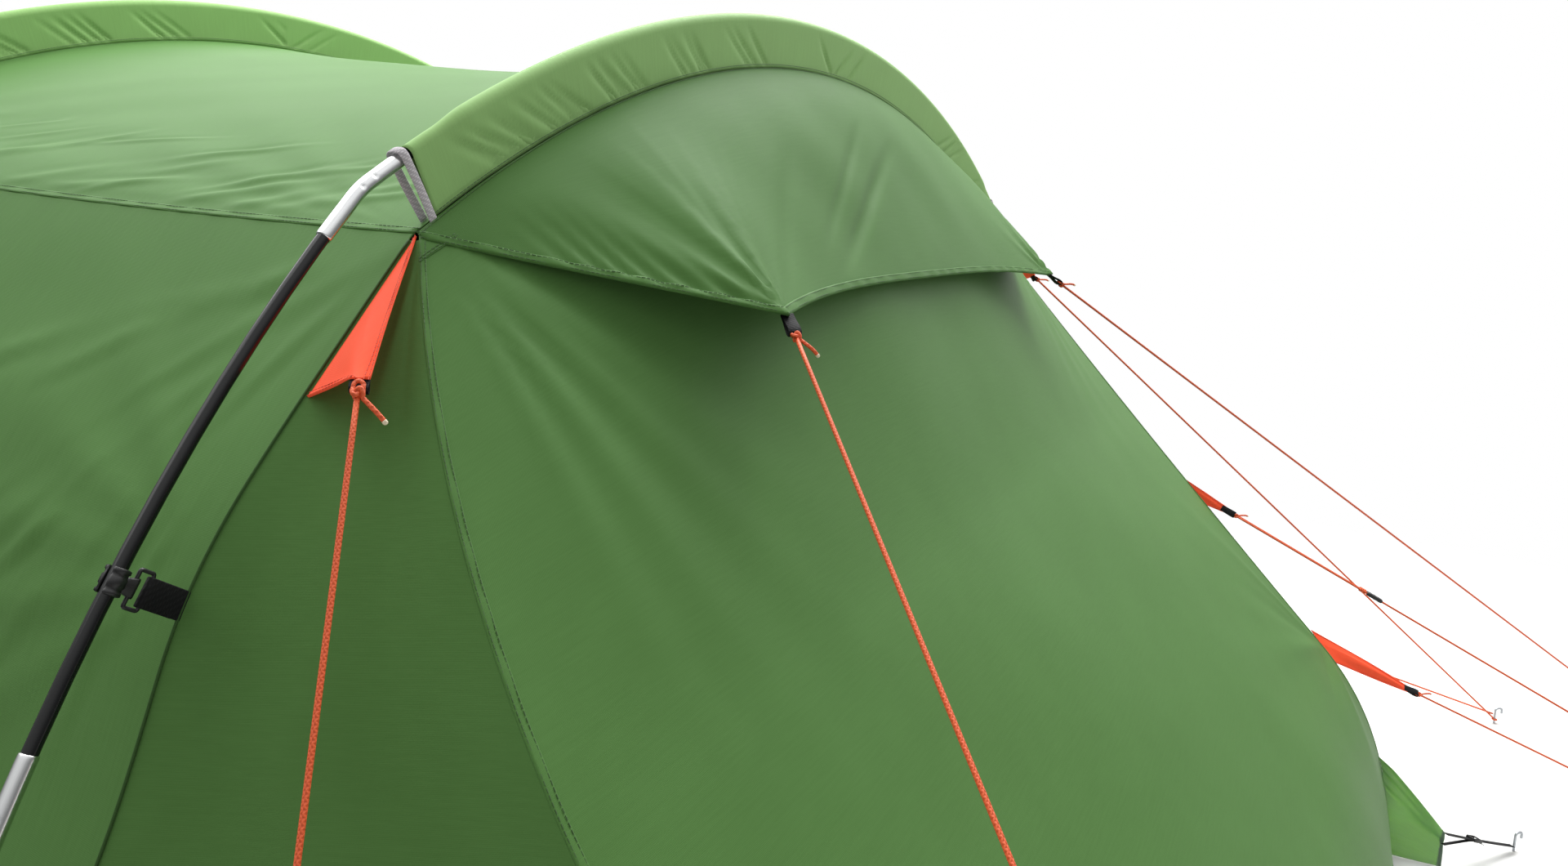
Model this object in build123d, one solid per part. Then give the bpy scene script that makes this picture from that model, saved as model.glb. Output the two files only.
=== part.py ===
from build123d import *
import os
from math import atan2, cos, degrees, hypot, pi, sin, sqrt

# Tunnel tent pitched on two pole arches, with its guy lines drawn out to pegs.
# X runs across the tent, Y from the rear wall towards the door, Z up from the ground.
# The rear arch stands in the plane Y = 0. Pieces made for +X are mirrored to -X.

# Pole arches
ARCH_SPACING = 1385.0
REAR_PEAK = 1800.0
REAR_ROOF_RADIUS = 1980.0
FRONT_PEAK = 1948.0
FRONT_ROOF_RADIUS = 1850.0
BEND_HALF = 1032.0
FOOT_HALF = 1676.0
# A leg bows out by a share of its spread, so that it stands upright on its foot pin
LEG_BOW = 85 / 322
LEG_SAGITTA = LEG_BOW * (FOOT_HALF - BEND_HALF)
ROOF_ROD_COUNT = 4
LEG_ROD_COUNT = 3

# Pole rods, ferrules and the elastic cord inside them
POLE_D = 12.0
POLE_BORE = 6.4
ROD_GAP = 1.0
FERRULE_D = 14.6
FERRULE_CLEARANCE = 0.4
FERRULE_LENGTH = 90.0
ELBOW_ARM = 64.0
ELBOW_INSERT = 38.0
ELBOW_RADIUS = 110.0
SHOCK_CORD_D = 3.0
SHOCK_CORD_END = 72.0

# Pole feet: a plate on the ground, a pin in the pole and an eye for a peg
FOOT_PLATE = 4.0
FOOT_WIDTH = 30.0
FOOT_CORNER = 13.6
FOOT_PIN_D = 5.2
FOOT_PIN_LENGTH = 60.0
FOOT_EYE_D = 12.0
FOOT_EYE_OFFSET = 36.0
FOOT_CLEARANCE = 0.4

# Sleeves over the roof part of each arch
SLEEVE_HALF = 973.0
SLEEVE_BORE = 19.0
SLEEVE_WALL = 1.5
SLEEVE_DEPTH = 67.0
SLEEVE_WEB = 2.4
LOOP_STEP = 6.0
LOOP_WIDTH = 10.0

# Fabric panels
FABRIC = 2.0
SEAM_GAP = 1.5
ARCH_GAP = 3.0
LEG_GAP = 72.0
SIDE_SAG = 25.0
ROOF_SAG = 15.0
WING_DROP = 26.0
WING_BOW = 0.015
REAR_BASE_HALF = 960.0
REAR_BASE_Y = -1030.0
REAR_SEAM_MIDDLE = Vector(1198.0, -450.0, 876.0)
REAR_SEAM_KNEE = Vector(1116.0, -866.0, 440.0)
REAR_SEAM_HIP = Vector(1030.0, -1012.0, 200.0)
REAR_SEAM_STEPS = 6
REAR_WALL_BULGES = (4.0, 30.0, 30.0, 30.0, 27.0, 24.0, 20.0)
REAR_HIP_BULGE = 18.0
REAR_BASE_BULGE = 16.0

# Vent hood over the top of the rear wall
HOOD_TIP_HALF = 641.0
HOOD_TIP_Y = -247.0
HOOD_TIP_Z = 1372.0
HOOD_HEM_RISE = 17.0
HOOD_HEM_DRAW = 42.0
HOOD_BULGE = 16.0
HOOD_LIFT = 8.0
HOOD_END_INSET = 26.0
HOOD_STEPS = 6
HOOD_FOLD = 7.0
HOOD_FOLD_PITCH = 150.0

# Sloping front wall and its door
FRONT_REACH = 950.0
FRONT_BASE_HALF = 930.0
FRONT_SEAM_BULGE = 24.0
FRONT_HEADER_DROP = 24.0
FRONT_HEADER_STEP = 26.0
FRONT_WALL_TRIM = 20.0
DOOR_WIDTH = 900.0
DOOR_LENGTH = 1400.0
DOOR_CORNER = 110.0
DOOR_SILL = 120.0
DOOR_GAP = 6.0
ZIP_WIDTH = 7.0
ZIP_HEIGHT = 2.4
ZIP_LENGTH = 1120.0
ZIP_SILL_LENGTH = 620.0
ZIP_LIFT = 0.4
SLIDER_LENGTH = 18.0
SLIDER_WIDTH = 11.0
SLIDER_HEIGHT = 4.0
PULL_LENGTH = 42.0
PULL_WIDTH = 9.0
PULL_HEIGHT = 1.8
TOGGLE_D = 9.0
TOGGLE_LENGTH = 44.0

# Floor
FLOOR = 3.0
FLOOR_INSET = 24.0

# Pole clips and their straps
CLIP_HEIGHTS = (1207.0, 760.0)
CLIP_WALL = 3.0
CLIP_LENGTH = 22.0
CLIP_ARM = 26.0
CLIP_ARM_WALL = 4.0
CLIP_SLOT = 4.0
CLIP_FIT = 0.4
STRAP_WIDTH = 25.0
STRAP = 2.0

# Guy patches, tabs, cords, knots and the line runner
PATCH = 1.6
PATCH_LIFT = 4.0
SHOULDER_PATCH_LOW = Vector(1112.0, -3.0, 1325.0)
SHOULDER_PATCH_TIP = Vector(1122.0, -86.0, 1353.0)
UPPER_PATCH_AT = 0.65
UPPER_PATCH_BASE = 90.0
UPPER_PATCH_REACH = 80.0
LOWER_PATCH_BASE = 86.0
LOWER_PATCH_REACH = 235.0
TAB_LENGTH = 30.0
TAB_WIDTH = 16.0
TAB = 3.0
TAB_GAP = 0.5
CORD_D = 5.0
KNOT_D = 13.0
RUNNER_AT = 0.26
RUNNER_LENGTH = 42.0
RUNNER_WIDTH = 17.0
RUNNER_HEIGHT = 9.0
RUNNER_BORE = 6.2
RUNNER_BORE_STEP = 7.6

# Ground pegs, cut off at the ground, where the guy lines end
PEG_D = 6.0
PEG_HEIGHT = 46.0
PEG_HOOK = 20.0
PEG_HOOK_DROP = 16.0
PEG_BEND = 7.0
PEG_CORD_Z = 12.0
HOOD_PEG_LEFT = Vector(-2150.0, -1725.0, 0.0)
HOOD_PEG_RIGHT = Vector(2150.0, -1726.0, 0.0)
SHOULDER_PEG_LEFT = Vector(-1950.0, -623.0, 0.0)
SHOULDER_PEG_RIGHT = Vector(1900.0, -1360.0, 0.0)
UPPER_PEG = Vector(1400.0, -1937.0, 0.0)
LOWER_PEG = Vector(1445.0, -1692.0, 0.0)
RETURN_HEIGHT = 440.0

# Rear corner fins, their straps and adjusters
FIN_TOP_Z = 200.0
FIN_REACH = 105.0
FIN_TIP_Z = 86.0
FIN_CLEAR = 4.0
CORNER_PEG = Vector(1118.0, -1316.0, 0.0)
CORNER_STRAP_WIDTH = 15.0
ADJUSTER_AT = 0.42
ADJUSTER_LENGTH = 26.0
ADJUSTER_WIDTH = 24.0
ADJUSTER_HEIGHT = 8.0
ADJUSTER_FIT = 0.6

nodes = {}


def mirrored(shape):
    """The same shape on the other side of the tent."""
    return mirror(shape, about=Plane.YZ)


def flipped(point):
    """The same point on the other side of the tent."""
    return Vector(-point.X, point.Y, point.Z)


def frame_at(origin, along, up=Vector(0, 0, 1)):
    """A plane whose X axis runs along a direction and whose Z axis leans towards up."""
    along = along.normalized()
    side = up.cross(along).normalized()
    return Plane(origin, x_dir=along, z_dir=along.cross(side))


class ArcRun:
    """A circular arc in a plane of constant Y; angles run from +Z towards +X."""

    def __init__(self, x, y, z, radius):
        self.x, self.y, self.z, self.radius = x, y, z, radius

    def point(self, angle, inset=0.0, dy=0.0):
        reach = self.radius - inset
        return Vector(self.x + reach * sin(angle), self.y + dy, self.z + reach * cos(angle))

    def angle_at_height(self, height, inset=0.0):
        rise = height - self.z
        return atan2(sqrt((self.radius - inset) ** 2 - rise**2), rise)

    def angle_of(self, point):
        return atan2(point.X - self.x, point.Z - self.z)

    def axis(self):
        return Axis((self.x, self.y, self.z), (0, 1, 0))

    def section_plane(self, angle):
        tangent = Vector(cos(angle), 0, -sin(angle))
        return Plane(self.point(angle), x_dir=(sin(angle), 0, cos(angle)), z_dir=tangent)

    def swept(self, profile, start, end):
        return revolve(self.section_plane(start) * profile, self.axis(), degrees(end - start))

    def tube(self, outer, bore, start, end):
        return self.swept(Circle(outer / 2) - Circle(bore / 2), start, end)

    def rod(self, outer, start, end):
        return self.swept(Circle(outer / 2), start, end)


class Arch:
    """A pole arch: one roof arc and a leg arc each side, with the fabric hung inside it."""

    def __init__(self, y, peak, roof_radius):
        self.y = y
        self.roof = ArcRun(0.0, y, peak - roof_radius, roof_radius)
        self.bend_angle = atan2(BEND_HALF, sqrt(roof_radius**2 - BEND_HALF**2))
        bend = self.roof.point(self.bend_angle)
        foot = Vector(FOOT_HALF, y, FOOT_PLATE + FOOT_CLEARANCE)
        chord = hypot(foot.X - bend.X, bend.Z - foot.Z)
        radius = chord**2 / (8 * LEG_SAGITTA) + LEG_SAGITTA / 2
        outward = Vector(bend.Z - foot.Z, 0, foot.X - bend.X) * (1 / chord)
        centre = (bend + foot) * 0.5 - outward * (radius - LEG_SAGITTA)
        self.leg = ArcRun(centre.X, y, centre.Z, radius)
        self.leg_start = self.leg.angle_of(bend)
        self.leg_end = self.leg.angle_of(foot)
        self.shoulder = self.fabric_shoulder()

    def fabric_shoulder(self):
        """Where the fabric under the roof arc meets the fabric inside the leg arc."""
        roof_radius = self.roof.radius - SLEEVE_DEPTH
        leg_radius = self.leg.radius - LEG_GAP
        dx = self.leg.x - self.roof.x
        dz = self.leg.z - self.roof.z
        span = hypot(dx, dz)
        along = (roof_radius**2 - leg_radius**2 + span**2) / (2 * span)
        away = sqrt(roof_radius**2 - along**2)
        foot = Vector(self.roof.x + along * dx / span, self.y, self.roof.z + along * dz / span)
        step = Vector(-dz, 0, dx) * (away / span)
        return max(foot + step, foot - step, key=lambda point: point.Z)

    def roof_fabric(self, x, inset=0.0):
        """The height of the fabric under the roof arc at a distance from the middle."""
        reach = self.roof.radius - SLEEVE_DEPTH - inset
        return self.roof.z + sqrt(reach**2 - x**2)

    def roof_band(self, dy, inset=0.0):
        """The fabric's edge on the roof arc, from shoulder to shoulder."""
        edge = self.shoulder.X - SEAM_GAP
        left = Vector(-edge, self.y + dy, self.roof_fabric(edge, inset))
        middle = Vector(0, self.y + dy, self.roof_fabric(0, inset))
        return left, middle, flipped(left)

    def leg_band(self, dy, drop=0.0):
        """The fabric's edge inside the leg arc, from the shoulder to the ground."""
        top = self.leg.angle_at_height(self.shoulder.Z - SEAM_GAP - drop, LEG_GAP)
        low = self.leg.angle_at_height(0.0, LEG_GAP)
        return [self.leg.point(a, LEG_GAP, dy) for a in (top, (top + low) / 2, low)]


def band(first, middle, last):
    """A fabric edge as a thin face: an arc through three points, thickened towards its centre."""
    outer = ThreePointArc(first, middle, last)
    centre = outer.arc_center
    scale = 1 - FABRIC / outer.radius
    back = [centre + (p - centre) * scale for p in (last, middle, first)]
    edges = [outer, Line(last, back[0]), ThreePointArc(*back), Line(back[2], first)]
    return Face(Wire(edges))


def panel(*bands):
    """A fabric panel stretched between its edges."""
    return loft([band(*points) for points in bands], ruled=True)


def between(a, b, sag):
    """The middle of two fabric edges, drawn in at the middle by the sag."""
    points = [(p + q) * 0.5 for p, q in zip(a, b)]
    return [points[0], points[1] + sag, points[2]]


def plate(points, thickness):
    """A flat piece of cloth or webbing through the given corners."""
    return extrude(make_face(Polyline(*points, close=True)), thickness)


def straight_cord(start, end):
    """A tight cord between two points."""
    return sweep(frame_across(start, end) * Circle(CORD_D / 2), path=Line(start, end))


def frame_across(start, end):
    """A plane square to the line from start to end, at start."""
    return Plane(start, z_dir=end - start)


def unit(vector):
    """The direction of a vector."""
    return vector.normalized()


REAR = Arch(0.0, REAR_PEAK, REAR_ROOF_RADIUS)
FRONT = Arch(ARCH_SPACING, FRONT_PEAK, FRONT_ROOF_RADIUS)


# Poles: rods with ferrules over their joints, an elbow at each shoulder, a cord inside
def joined_rods(run, start, end, count):
    """Equal rods along an arc, and the ferrules over the joints between them."""
    step = (end - start) / count
    gap = ROD_GAP / run.radius / 2
    half = FERRULE_LENGTH / run.radius / 2
    bore = POLE_D + 2 * FERRULE_CLEARANCE
    rods = []
    ferrules = []
    for index in range(count):
        low = start + index * step
        rods.append(run.tube(POLE_D, POLE_BORE, low + gap, low + step - gap))
        if index > 0:
            ferrules.append(run.tube(FERRULE_D, bore, low - half, low + half))
    return rods, ferrules


def elbow(arch):
    """The bent ferrule that joins the roof rods to a leg."""
    ends = (
        arch.roof.point(arch.bend_angle - ELBOW_ARM / arch.roof.radius),
        arch.roof.point(arch.bend_angle),
        arch.leg.point(arch.leg_start + ELBOW_ARM / arch.leg.radius),
    )
    path = FilletPolyline(*ends, radius=ELBOW_RADIUS)
    mouth = frame_across(ends[0], ends[1])
    outer = sweep(mouth * Circle(FERRULE_D / 2), path=path)
    return outer - sweep(mouth * Circle(POLE_D / 2 + FERRULE_CLEARANCE), path=path)


def shock_cord(arch):
    """The elastic cord that runs through every rod of an arch."""
    low = arch.leg_end - SHOCK_CORD_END / arch.leg.radius
    leg = arch.leg.rod(SHOCK_CORD_D, arch.leg_start, low)
    turn = Pos(arch.roof.point(arch.bend_angle)) * Sphere(SHOCK_CORD_D / 2)
    side = leg + turn
    return arch.roof.rod(SHOCK_CORD_D, -arch.bend_angle, arch.bend_angle) + side + mirrored(side)


def pole_foot(arch):
    """A ground plate with a pin for the pole and an eye for a peg."""
    reach = FOOT_EYE_OFFSET + FOOT_WIDTH
    base = Pos(FOOT_HALF + FOOT_EYE_OFFSET / 2, arch.y, FOOT_PLATE / 2) * Box(reach, FOOT_WIDTH, FOOT_PLATE)
    base = fillet(base.edges().filter_by(Axis.Z), FOOT_CORNER)
    eye_at = Pos(FOOT_HALF + FOOT_EYE_OFFSET, arch.y, FOOT_PLATE / 2)
    eye = eye_at * Cylinder(FOOT_EYE_D / 2, FOOT_PLATE * 2)
    pin_height = FOOT_PLATE + FOOT_PIN_LENGTH
    pin = Pos(FOOT_HALF, arch.y, pin_height / 2) * Cylinder(FOOT_PIN_D / 2, pin_height)
    return base + pin - eye


def sleeve(arch):
    """The fabric channel over the roof rods, with its web sewn down to the roof."""
    end = atan2(SLEEVE_HALF, sqrt(arch.roof.radius**2 - SLEEVE_HALF**2))
    outer = SLEEVE_BORE / 2 + SLEEVE_WALL
    web_top = SLEEVE_BORE / 2 + SLEEVE_WALL / 2
    web = Pos(-(web_top + SLEEVE_DEPTH) / 2, 0) * Rectangle(SLEEVE_DEPTH - web_top, SLEEVE_WEB)
    return arch.roof.swept(Circle(outer) - Circle(SLEEVE_BORE / 2) + web, -end, end)


def sleeve_loop(arch):
    """The webbing loop over the elbow at one end of a sleeve."""
    end = atan2(SLEEVE_HALF, sqrt(arch.roof.radius**2 - SLEEVE_HALF**2))
    angle = end + LOOP_STEP / arch.roof.radius
    inner = FERRULE_D / 2 + FERRULE_CLEARANCE * 2
    outer = inner + STRAP
    leg_length = SLEEVE_DEPTH - inner
    tail = Pos(-leg_length / 2, (inner + outer) / 2) * Rectangle(leg_length, STRAP)
    arch_half = (Circle(outer) - Circle(inner)) & Pos(outer / 2, 0) * Rectangle(outer, 2 * outer)
    profile = arch_half + tail + mirror(tail, about=Plane.XZ)
    return extrude(arch.roof.section_plane(angle) * profile, LOOP_WIDTH)


for name, arch in (("rear", REAR), ("front", FRONT)):
    inset = ELBOW_ARM - ELBOW_INSERT
    roof_end = arch.bend_angle - inset / arch.roof.radius
    leg_top = arch.leg_start + inset / arch.leg.radius
    roof_rods, roof_ferrules = joined_rods(arch.roof, -roof_end, roof_end, ROOF_ROD_COUNT)
    leg_rods, leg_ferrules = joined_rods(arch.leg, leg_top, arch.leg_end, LEG_ROD_COUNT)
    nodes[f"{name}_roof_rods"] = roof_rods
    nodes[f"{name}_leg_rods_right"] = leg_rods
    nodes[f"{name}_leg_rods_left"] = [mirrored(rod) for rod in leg_rods]
    nodes[f"{name}_ferrules"] = roof_ferrules + leg_ferrules + [mirrored(f) for f in leg_ferrules]
    nodes[f"{name}_elbow_right"] = [elbow(arch)]
    nodes[f"{name}_elbow_left"] = [mirrored(elbow(arch))]
    nodes[f"{name}_shock_cord"] = [shock_cord(arch)]
    nodes[f"{name}_pole_feet"] = [pole_foot(arch), mirrored(pole_foot(arch))]
    nodes[f"{name}_sleeve"] = [sleeve(arch)]
    nodes[f"{name}_sleeve_loops"] = [sleeve_loop(arch), mirrored(sleeve_loop(arch))]

# Roof and sides between the arches
roof_ends = (REAR.roof_band(ARCH_GAP), FRONT.roof_band(-ARCH_GAP))
roof_middle = between(*roof_ends, Vector(0, 0, -ROOF_SAG))
nodes["roof_panel"] = [panel(roof_ends[0], roof_middle, roof_ends[1])]
side_ends = (REAR.leg_band(ARCH_GAP), FRONT.leg_band(-ARCH_GAP))
side_middle = between(*side_ends, Vector(-SIDE_SAG, 0, 0))
side_panel = panel(side_ends[0], side_middle, side_ends[1])
nodes["side_panel_right"] = [side_panel]
nodes["side_panel_left"] = [mirrored(side_panel)]

# Rear wall between the two corner seams, and the wings from the seams to the arch.
# Each seam curves down to a knee, where the lowest line pulls it out, and on past a hip,
# below which it stands nearly upright.
seam_top = REAR.shoulder - Vector(SEAM_GAP, ARCH_GAP * 2, SEAM_GAP)
seam_foot = Vector(REAR_BASE_HALF, REAR_BASE_Y, 0)
rear_seam = ThreePointArc(seam_top, REAR_SEAM_MIDDLE, REAR_SEAM_KNEE)
seam_shares = [WING_DROP / rear_seam.length]
seam_shares += [(index + 1) / REAR_SEAM_STEPS for index in range(REAR_SEAM_STEPS)]


def rear_wall():
    """The sloping rear wall: bands between the corner seams, from the shoulders down."""
    edges = []
    inset = Vector(SEAM_GAP, 0, 0)
    for along, bulge in zip(seam_shares, REAR_WALL_BULGES):
        corner = rear_seam @ along - inset
        slope = rear_seam % along
        out = unit(Vector(0, slope.Z, -slope.Y))
        edges.append((flipped(corner), Vector(0, corner.Y, corner.Z) + out * bulge, corner))
    for point, bulge in ((REAR_SEAM_HIP, REAR_HIP_BULGE), (seam_foot, REAR_BASE_BULGE)):
        corner = point - inset
        edges.append((flipped(corner), Vector(0, corner.Y - bulge, corner.Z), corner))
    return panel(*edges)


def rear_gable():
    """The upright top of the rear wall under the hood, from the shoulders to the roof arc."""
    left, middle, right = REAR.roof_band(-ARCH_GAP * 2, HOOD_LIFT)
    low = Vector(right.X, right.Y, (rear_seam @ seam_shares[0]).Z + FABRIC * 2)
    sides = Polyline(right, low, flipped(low), left).edges()
    outline = [ThreePointArc(left, middle, right), *sides]
    return extrude(Face(Wire(outline)), FABRIC, dir=(0, 1, 0))


def rear_wing():
    """The side panel of the rear end: level bands from the arch leg to the corner seam."""
    seam = [rear_seam @ along for along in seam_shares]
    seam += [REAR_SEAM_HIP, seam_foot]
    edges = []
    for point in seam:
        corner = point + Vector(SEAM_GAP, SEAM_GAP, 0)
        leg = REAR.leg.point(REAR.leg.angle_at_height(corner.Z, LEG_GAP), LEG_GAP, -ARCH_GAP)
        out = Vector(leg.Y - corner.Y, corner.X - leg.X, 0)
        edges.append((leg, (leg + corner) * 0.5 + out * WING_BOW, corner))
    return panel(*edges)


nodes["rear_wall"] = [rear_wall(), rear_gable()]
nodes["rear_wing_right"] = [rear_wing()]
nodes["rear_wing_left"] = [mirrored(rear_wing())]


# Vent hood
def hood_hem(x):
    """The hood's free edge: straight to the tips, and curved up between them."""
    reach = abs(x)
    if reach <= HOOD_TIP_HALF:
        share = 1 - (reach / HOOD_TIP_HALF) ** 2
        return Vector(x, HOOD_TIP_Y + HOOD_HEM_DRAW * share, HOOD_TIP_Z + HOOD_HEM_RISE * share)
    share = (reach - HOOD_TIP_HALF) / (REAR.shoulder.X - HOOD_TIP_HALF)
    drop = REAR.shoulder.Z - HOOD_TIP_Z
    return Vector(x, HOOD_TIP_Y * (1 - share) - ARCH_GAP * 2, HOOD_TIP_Z + drop * share)


def hood():
    """The vent hood, from the rear sleeve's seam to its guyed tips, with soft folds."""
    end = REAR.shoulder.X - HOOD_END_INSET
    side = [HOOD_TIP_HALF * i / HOOD_STEPS for i in range(HOOD_STEPS + 1)]
    side += [HOOD_TIP_HALF + (end - HOOD_TIP_HALF) * i / HOOD_STEPS for i in range(1, HOOD_STEPS + 1)]
    edges = []
    for x in [-s for s in reversed(side[1:])] + side:
        top = Vector(x, -ARCH_GAP, REAR.roof_fabric(x))
        hem = hood_hem(x)
        out = unit(Vector(0, hem.Z - top.Z, top.Y - hem.Y))
        fold = HOOD_FOLD * cos(2 * pi * (abs(x) - HOOD_TIP_HALF) / HOOD_FOLD_PITCH)
        depth = min((top - hem).length / (top - hood_hem(0)).length, 1.0)
        edges.append((top, (top + hem) * 0.5 + out * (HOOD_BULGE + fold) * depth, hem))
    return panel(*edges)


nodes["rear_hood"] = [hood()]

# Front wall: a flat slope below the front arch, with a header and wings
header_y = FRONT.y + FRONT_HEADER_STEP
header_z = FRONT.shoulder.Z - FRONT_HEADER_DROP
base_y = FRONT.y + FRONT_REACH
slope = Vector(0, header_y - base_y, header_z)
slope_length = slope.length
wall_normal = unit(slope.cross(Vector(1, 0, 0)))
if wall_normal.Y < 0:
    wall_normal = wall_normal * -1
wall_plane = Plane((0, base_y, 0), x_dir=(-1, 0, 0), z_dir=wall_normal)
header_half = FRONT.shoulder.X - SEAM_GAP * 2
door_middle = DOOR_SILL + DOOR_LENGTH / 2


def door_outline(margin):
    """The door's rounded outline on the front wall, grown by a margin."""
    shape = RectangleRounded(DOOR_WIDTH + 2 * margin, DOOR_LENGTH + 2 * margin, DOOR_CORNER + margin)
    return Pos(0, door_middle) * shape


def front_wall():
    """The flat front wall with its doorway, trimmed level at the ground."""
    outline = Polyline(
        (-FRONT_BASE_HALF, 0),
        (FRONT_BASE_HALF, 0),
        (header_half, slope_length),
        (-header_half, slope_length),
        close=True,
    )
    wall = extrude(wall_plane * (make_face(outline) - door_outline(DOOR_GAP)), FABRIC)
    below = Box(3 * FRONT_BASE_HALF, 2 * FRONT_WALL_TRIM, FRONT_WALL_TRIM)
    return wall - Pos(0, base_y, -FRONT_WALL_TRIM / 2) * below


def front_header():
    """The flat panel between the front arch and the sloping front wall."""
    left, middle, right = FRONT.roof_band(ARCH_GAP)
    low = wall_plane.from_local_coords(Vector(-header_half, slope_length + SEAM_GAP, FABRIC))
    lean = Vector(0, low.Y - middle.Y, 0) * ((middle.Z - right.Z) / (middle.Z - low.Z))
    left, right = left + lean, right + lean
    sides = Polyline(right, low, flipped(low), left).edges()
    outline = [ThreePointArc(left, middle, right), *sides]
    out = Vector(0, middle.Z - low.Z, low.Y - middle.Y)
    return extrude(Face(Wire(outline)), FABRIC, dir=out)


def front_wing():
    """The side panel of the front end, from the arch leg to the front wall."""
    top = wall_plane.from_local_coords(Vector(-header_half, slope_length, FABRIC))
    low = wall_plane.from_local_coords(Vector(-FRONT_BASE_HALF, 0, FABRIC))
    start = top + (low - top) * (WING_DROP / slope_length) + Vector(SEAM_GAP * 2, 0, 0)
    end = Vector(low.X + SEAM_GAP * 2, low.Y, 0)
    out = Vector(FRONT_SEAM_BULGE, 0, 0)
    return panel((start, (start + end) * 0.5 + out, end), FRONT.leg_band(ARCH_GAP, WING_DROP))


nodes["front_wall"] = [front_wall()]
nodes["front_header"] = [front_header()]
nodes["front_wing_right"] = [front_wing()]
nodes["front_wing_left"] = [mirrored(front_wing())]


# Door, zips, sliders and the toggles that hold the door rolled back
def on_wall(x, along, height, shape):
    """A shape set on the front wall: across, up the slope and out from its outer face."""
    return wall_plane * (Pos(x, along, FABRIC + height) * shape)


zip_x = DOOR_WIDTH / 2 + DOOR_GAP + ZIP_WIDTH
zip_sill = DOOR_SILL - DOOR_GAP - ZIP_WIDTH
slider_height = ZIP_LIFT * 2 + ZIP_HEIGHT + SLIDER_HEIGHT / 2


def zip_chain(x, along, across, up):
    """A closed run of zip teeth, sewn beside the doorway."""
    return on_wall(x, along, ZIP_LIFT + ZIP_HEIGHT / 2, Box(across, up, ZIP_HEIGHT))


def zip_slider(across, up, pull):
    """A zip slider with its pull tab, at the origin of its own frame."""
    body = Box(across, up, SLIDER_HEIGHT)
    body = fillet(body.edges().filter_by(Axis.Z), SLIDER_WIDTH / 4)
    step = (SLIDER_LENGTH + PULL_LENGTH) / 2 - SLIDER_WIDTH / 2
    tab = Pos(pull.X * step, pull.Y * step, (SLIDER_HEIGHT + PULL_HEIGHT) / 2)
    size = (PULL_WIDTH, PULL_LENGTH) if pull.X == 0 else (PULL_LENGTH, PULL_WIDTH)
    return body + tab * Box(*size, PULL_HEIGHT)


slider_top = door_middle + ZIP_LENGTH / 2 - SLIDER_LENGTH
slider_side = ZIP_SILL_LENGTH / 2 - SLIDER_LENGTH
nodes["door_panel"] = [extrude(wall_plane * door_outline(0), FABRIC)]
nodes["zip_chain_side"] = [zip_chain(-zip_x, door_middle, ZIP_WIDTH, ZIP_LENGTH)]
nodes["zip_chain_sill"] = [zip_chain(0, zip_sill, ZIP_SILL_LENGTH, ZIP_WIDTH)]
side_slider = zip_slider(SLIDER_WIDTH, SLIDER_LENGTH, Vector(0, -1, 0))
sill_slider = zip_slider(SLIDER_LENGTH, SLIDER_WIDTH, Vector(-1, 0, 0))
nodes["zip_slider_side"] = [on_wall(-zip_x, slider_top, slider_height, side_slider)]
nodes["zip_slider_sill"] = [on_wall(slider_side, zip_sill, slider_height, sill_slider)]
toggle = Rot(90, 0, 0) * Cylinder(TOGGLE_D / 2, TOGGLE_LENGTH)
toggle_x = DOOR_WIDTH / 2 + DOOR_GAP + TOGGLE_LENGTH * 2
toggle_rows = (door_middle - DOOR_LENGTH / 4, door_middle + DOOR_LENGTH / 4)
nodes["door_toggles"] = [on_wall(toggle_x, row, TOGGLE_D, toggle) for row in toggle_rows]

# Floor
floor_side = REAR.leg.x + REAR.leg.radius - LEG_GAP - FLOOR_INSET * 2
floor_corners = [
    (floor_side, REAR.y),
    (floor_side, FRONT.y),
    (FRONT_BASE_HALF - FLOOR_INSET, base_y - FLOOR_INSET * 2),
    (-FRONT_BASE_HALF + FLOOR_INSET, base_y - FLOOR_INSET * 2),
    (-floor_side, FRONT.y),
    (-floor_side, REAR.y),
    (-REAR_BASE_HALF + FLOOR_INSET * 2, REAR_BASE_Y + FLOOR_INSET * 2),
    (REAR_BASE_HALF - FLOOR_INSET * 2, REAR_BASE_Y + FLOOR_INSET * 2),
]
nodes["groundsheet"] = [plate([Vector(x, y, 0) for x, y in floor_corners], FLOOR)]


# Pole clips on the legs, and the webbing straps that tie them to the fabric
def pole_clip(arch, angle):
    """A snap-on clip round a leg with a slotted arm towards the fabric."""
    bore = POLE_D / 2 + CLIP_FIT
    ring = Circle(bore + CLIP_WALL) - Circle(bore)
    mouth = Pos(bore, 0) * Rectangle(2 * bore, bore)
    start = bore + CLIP_WALL / 2
    arm = Pos(-(start + CLIP_ARM) / 2, 0) * Rectangle(CLIP_ARM - start, CLIP_ARM_WALL)
    body = extrude(arch.leg.section_plane(angle) * (ring - mouth + arm), CLIP_LENGTH / 2, both=True)
    slot_x = -CLIP_ARM + CLIP_SLOT
    slot = Pos(slot_x, 0) * Rectangle(CLIP_SLOT, 3 * CLIP_ARM_WALL)
    return body - extrude(arch.leg.section_plane(angle) * slot, CLIP_LENGTH / 3, both=True)


def clip_strap(arch, angle):
    """The webbing from a clip's arm to the fabric's edge."""
    start = -CLIP_ARM - TAB_GAP
    end = -LEG_GAP + FABRIC
    strip = Pos((start + end) / 2, 0) * Rectangle(start - end, STRAP)
    return extrude(arch.leg.section_plane(angle) * strip, STRAP_WIDTH / 2, both=True)


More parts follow.
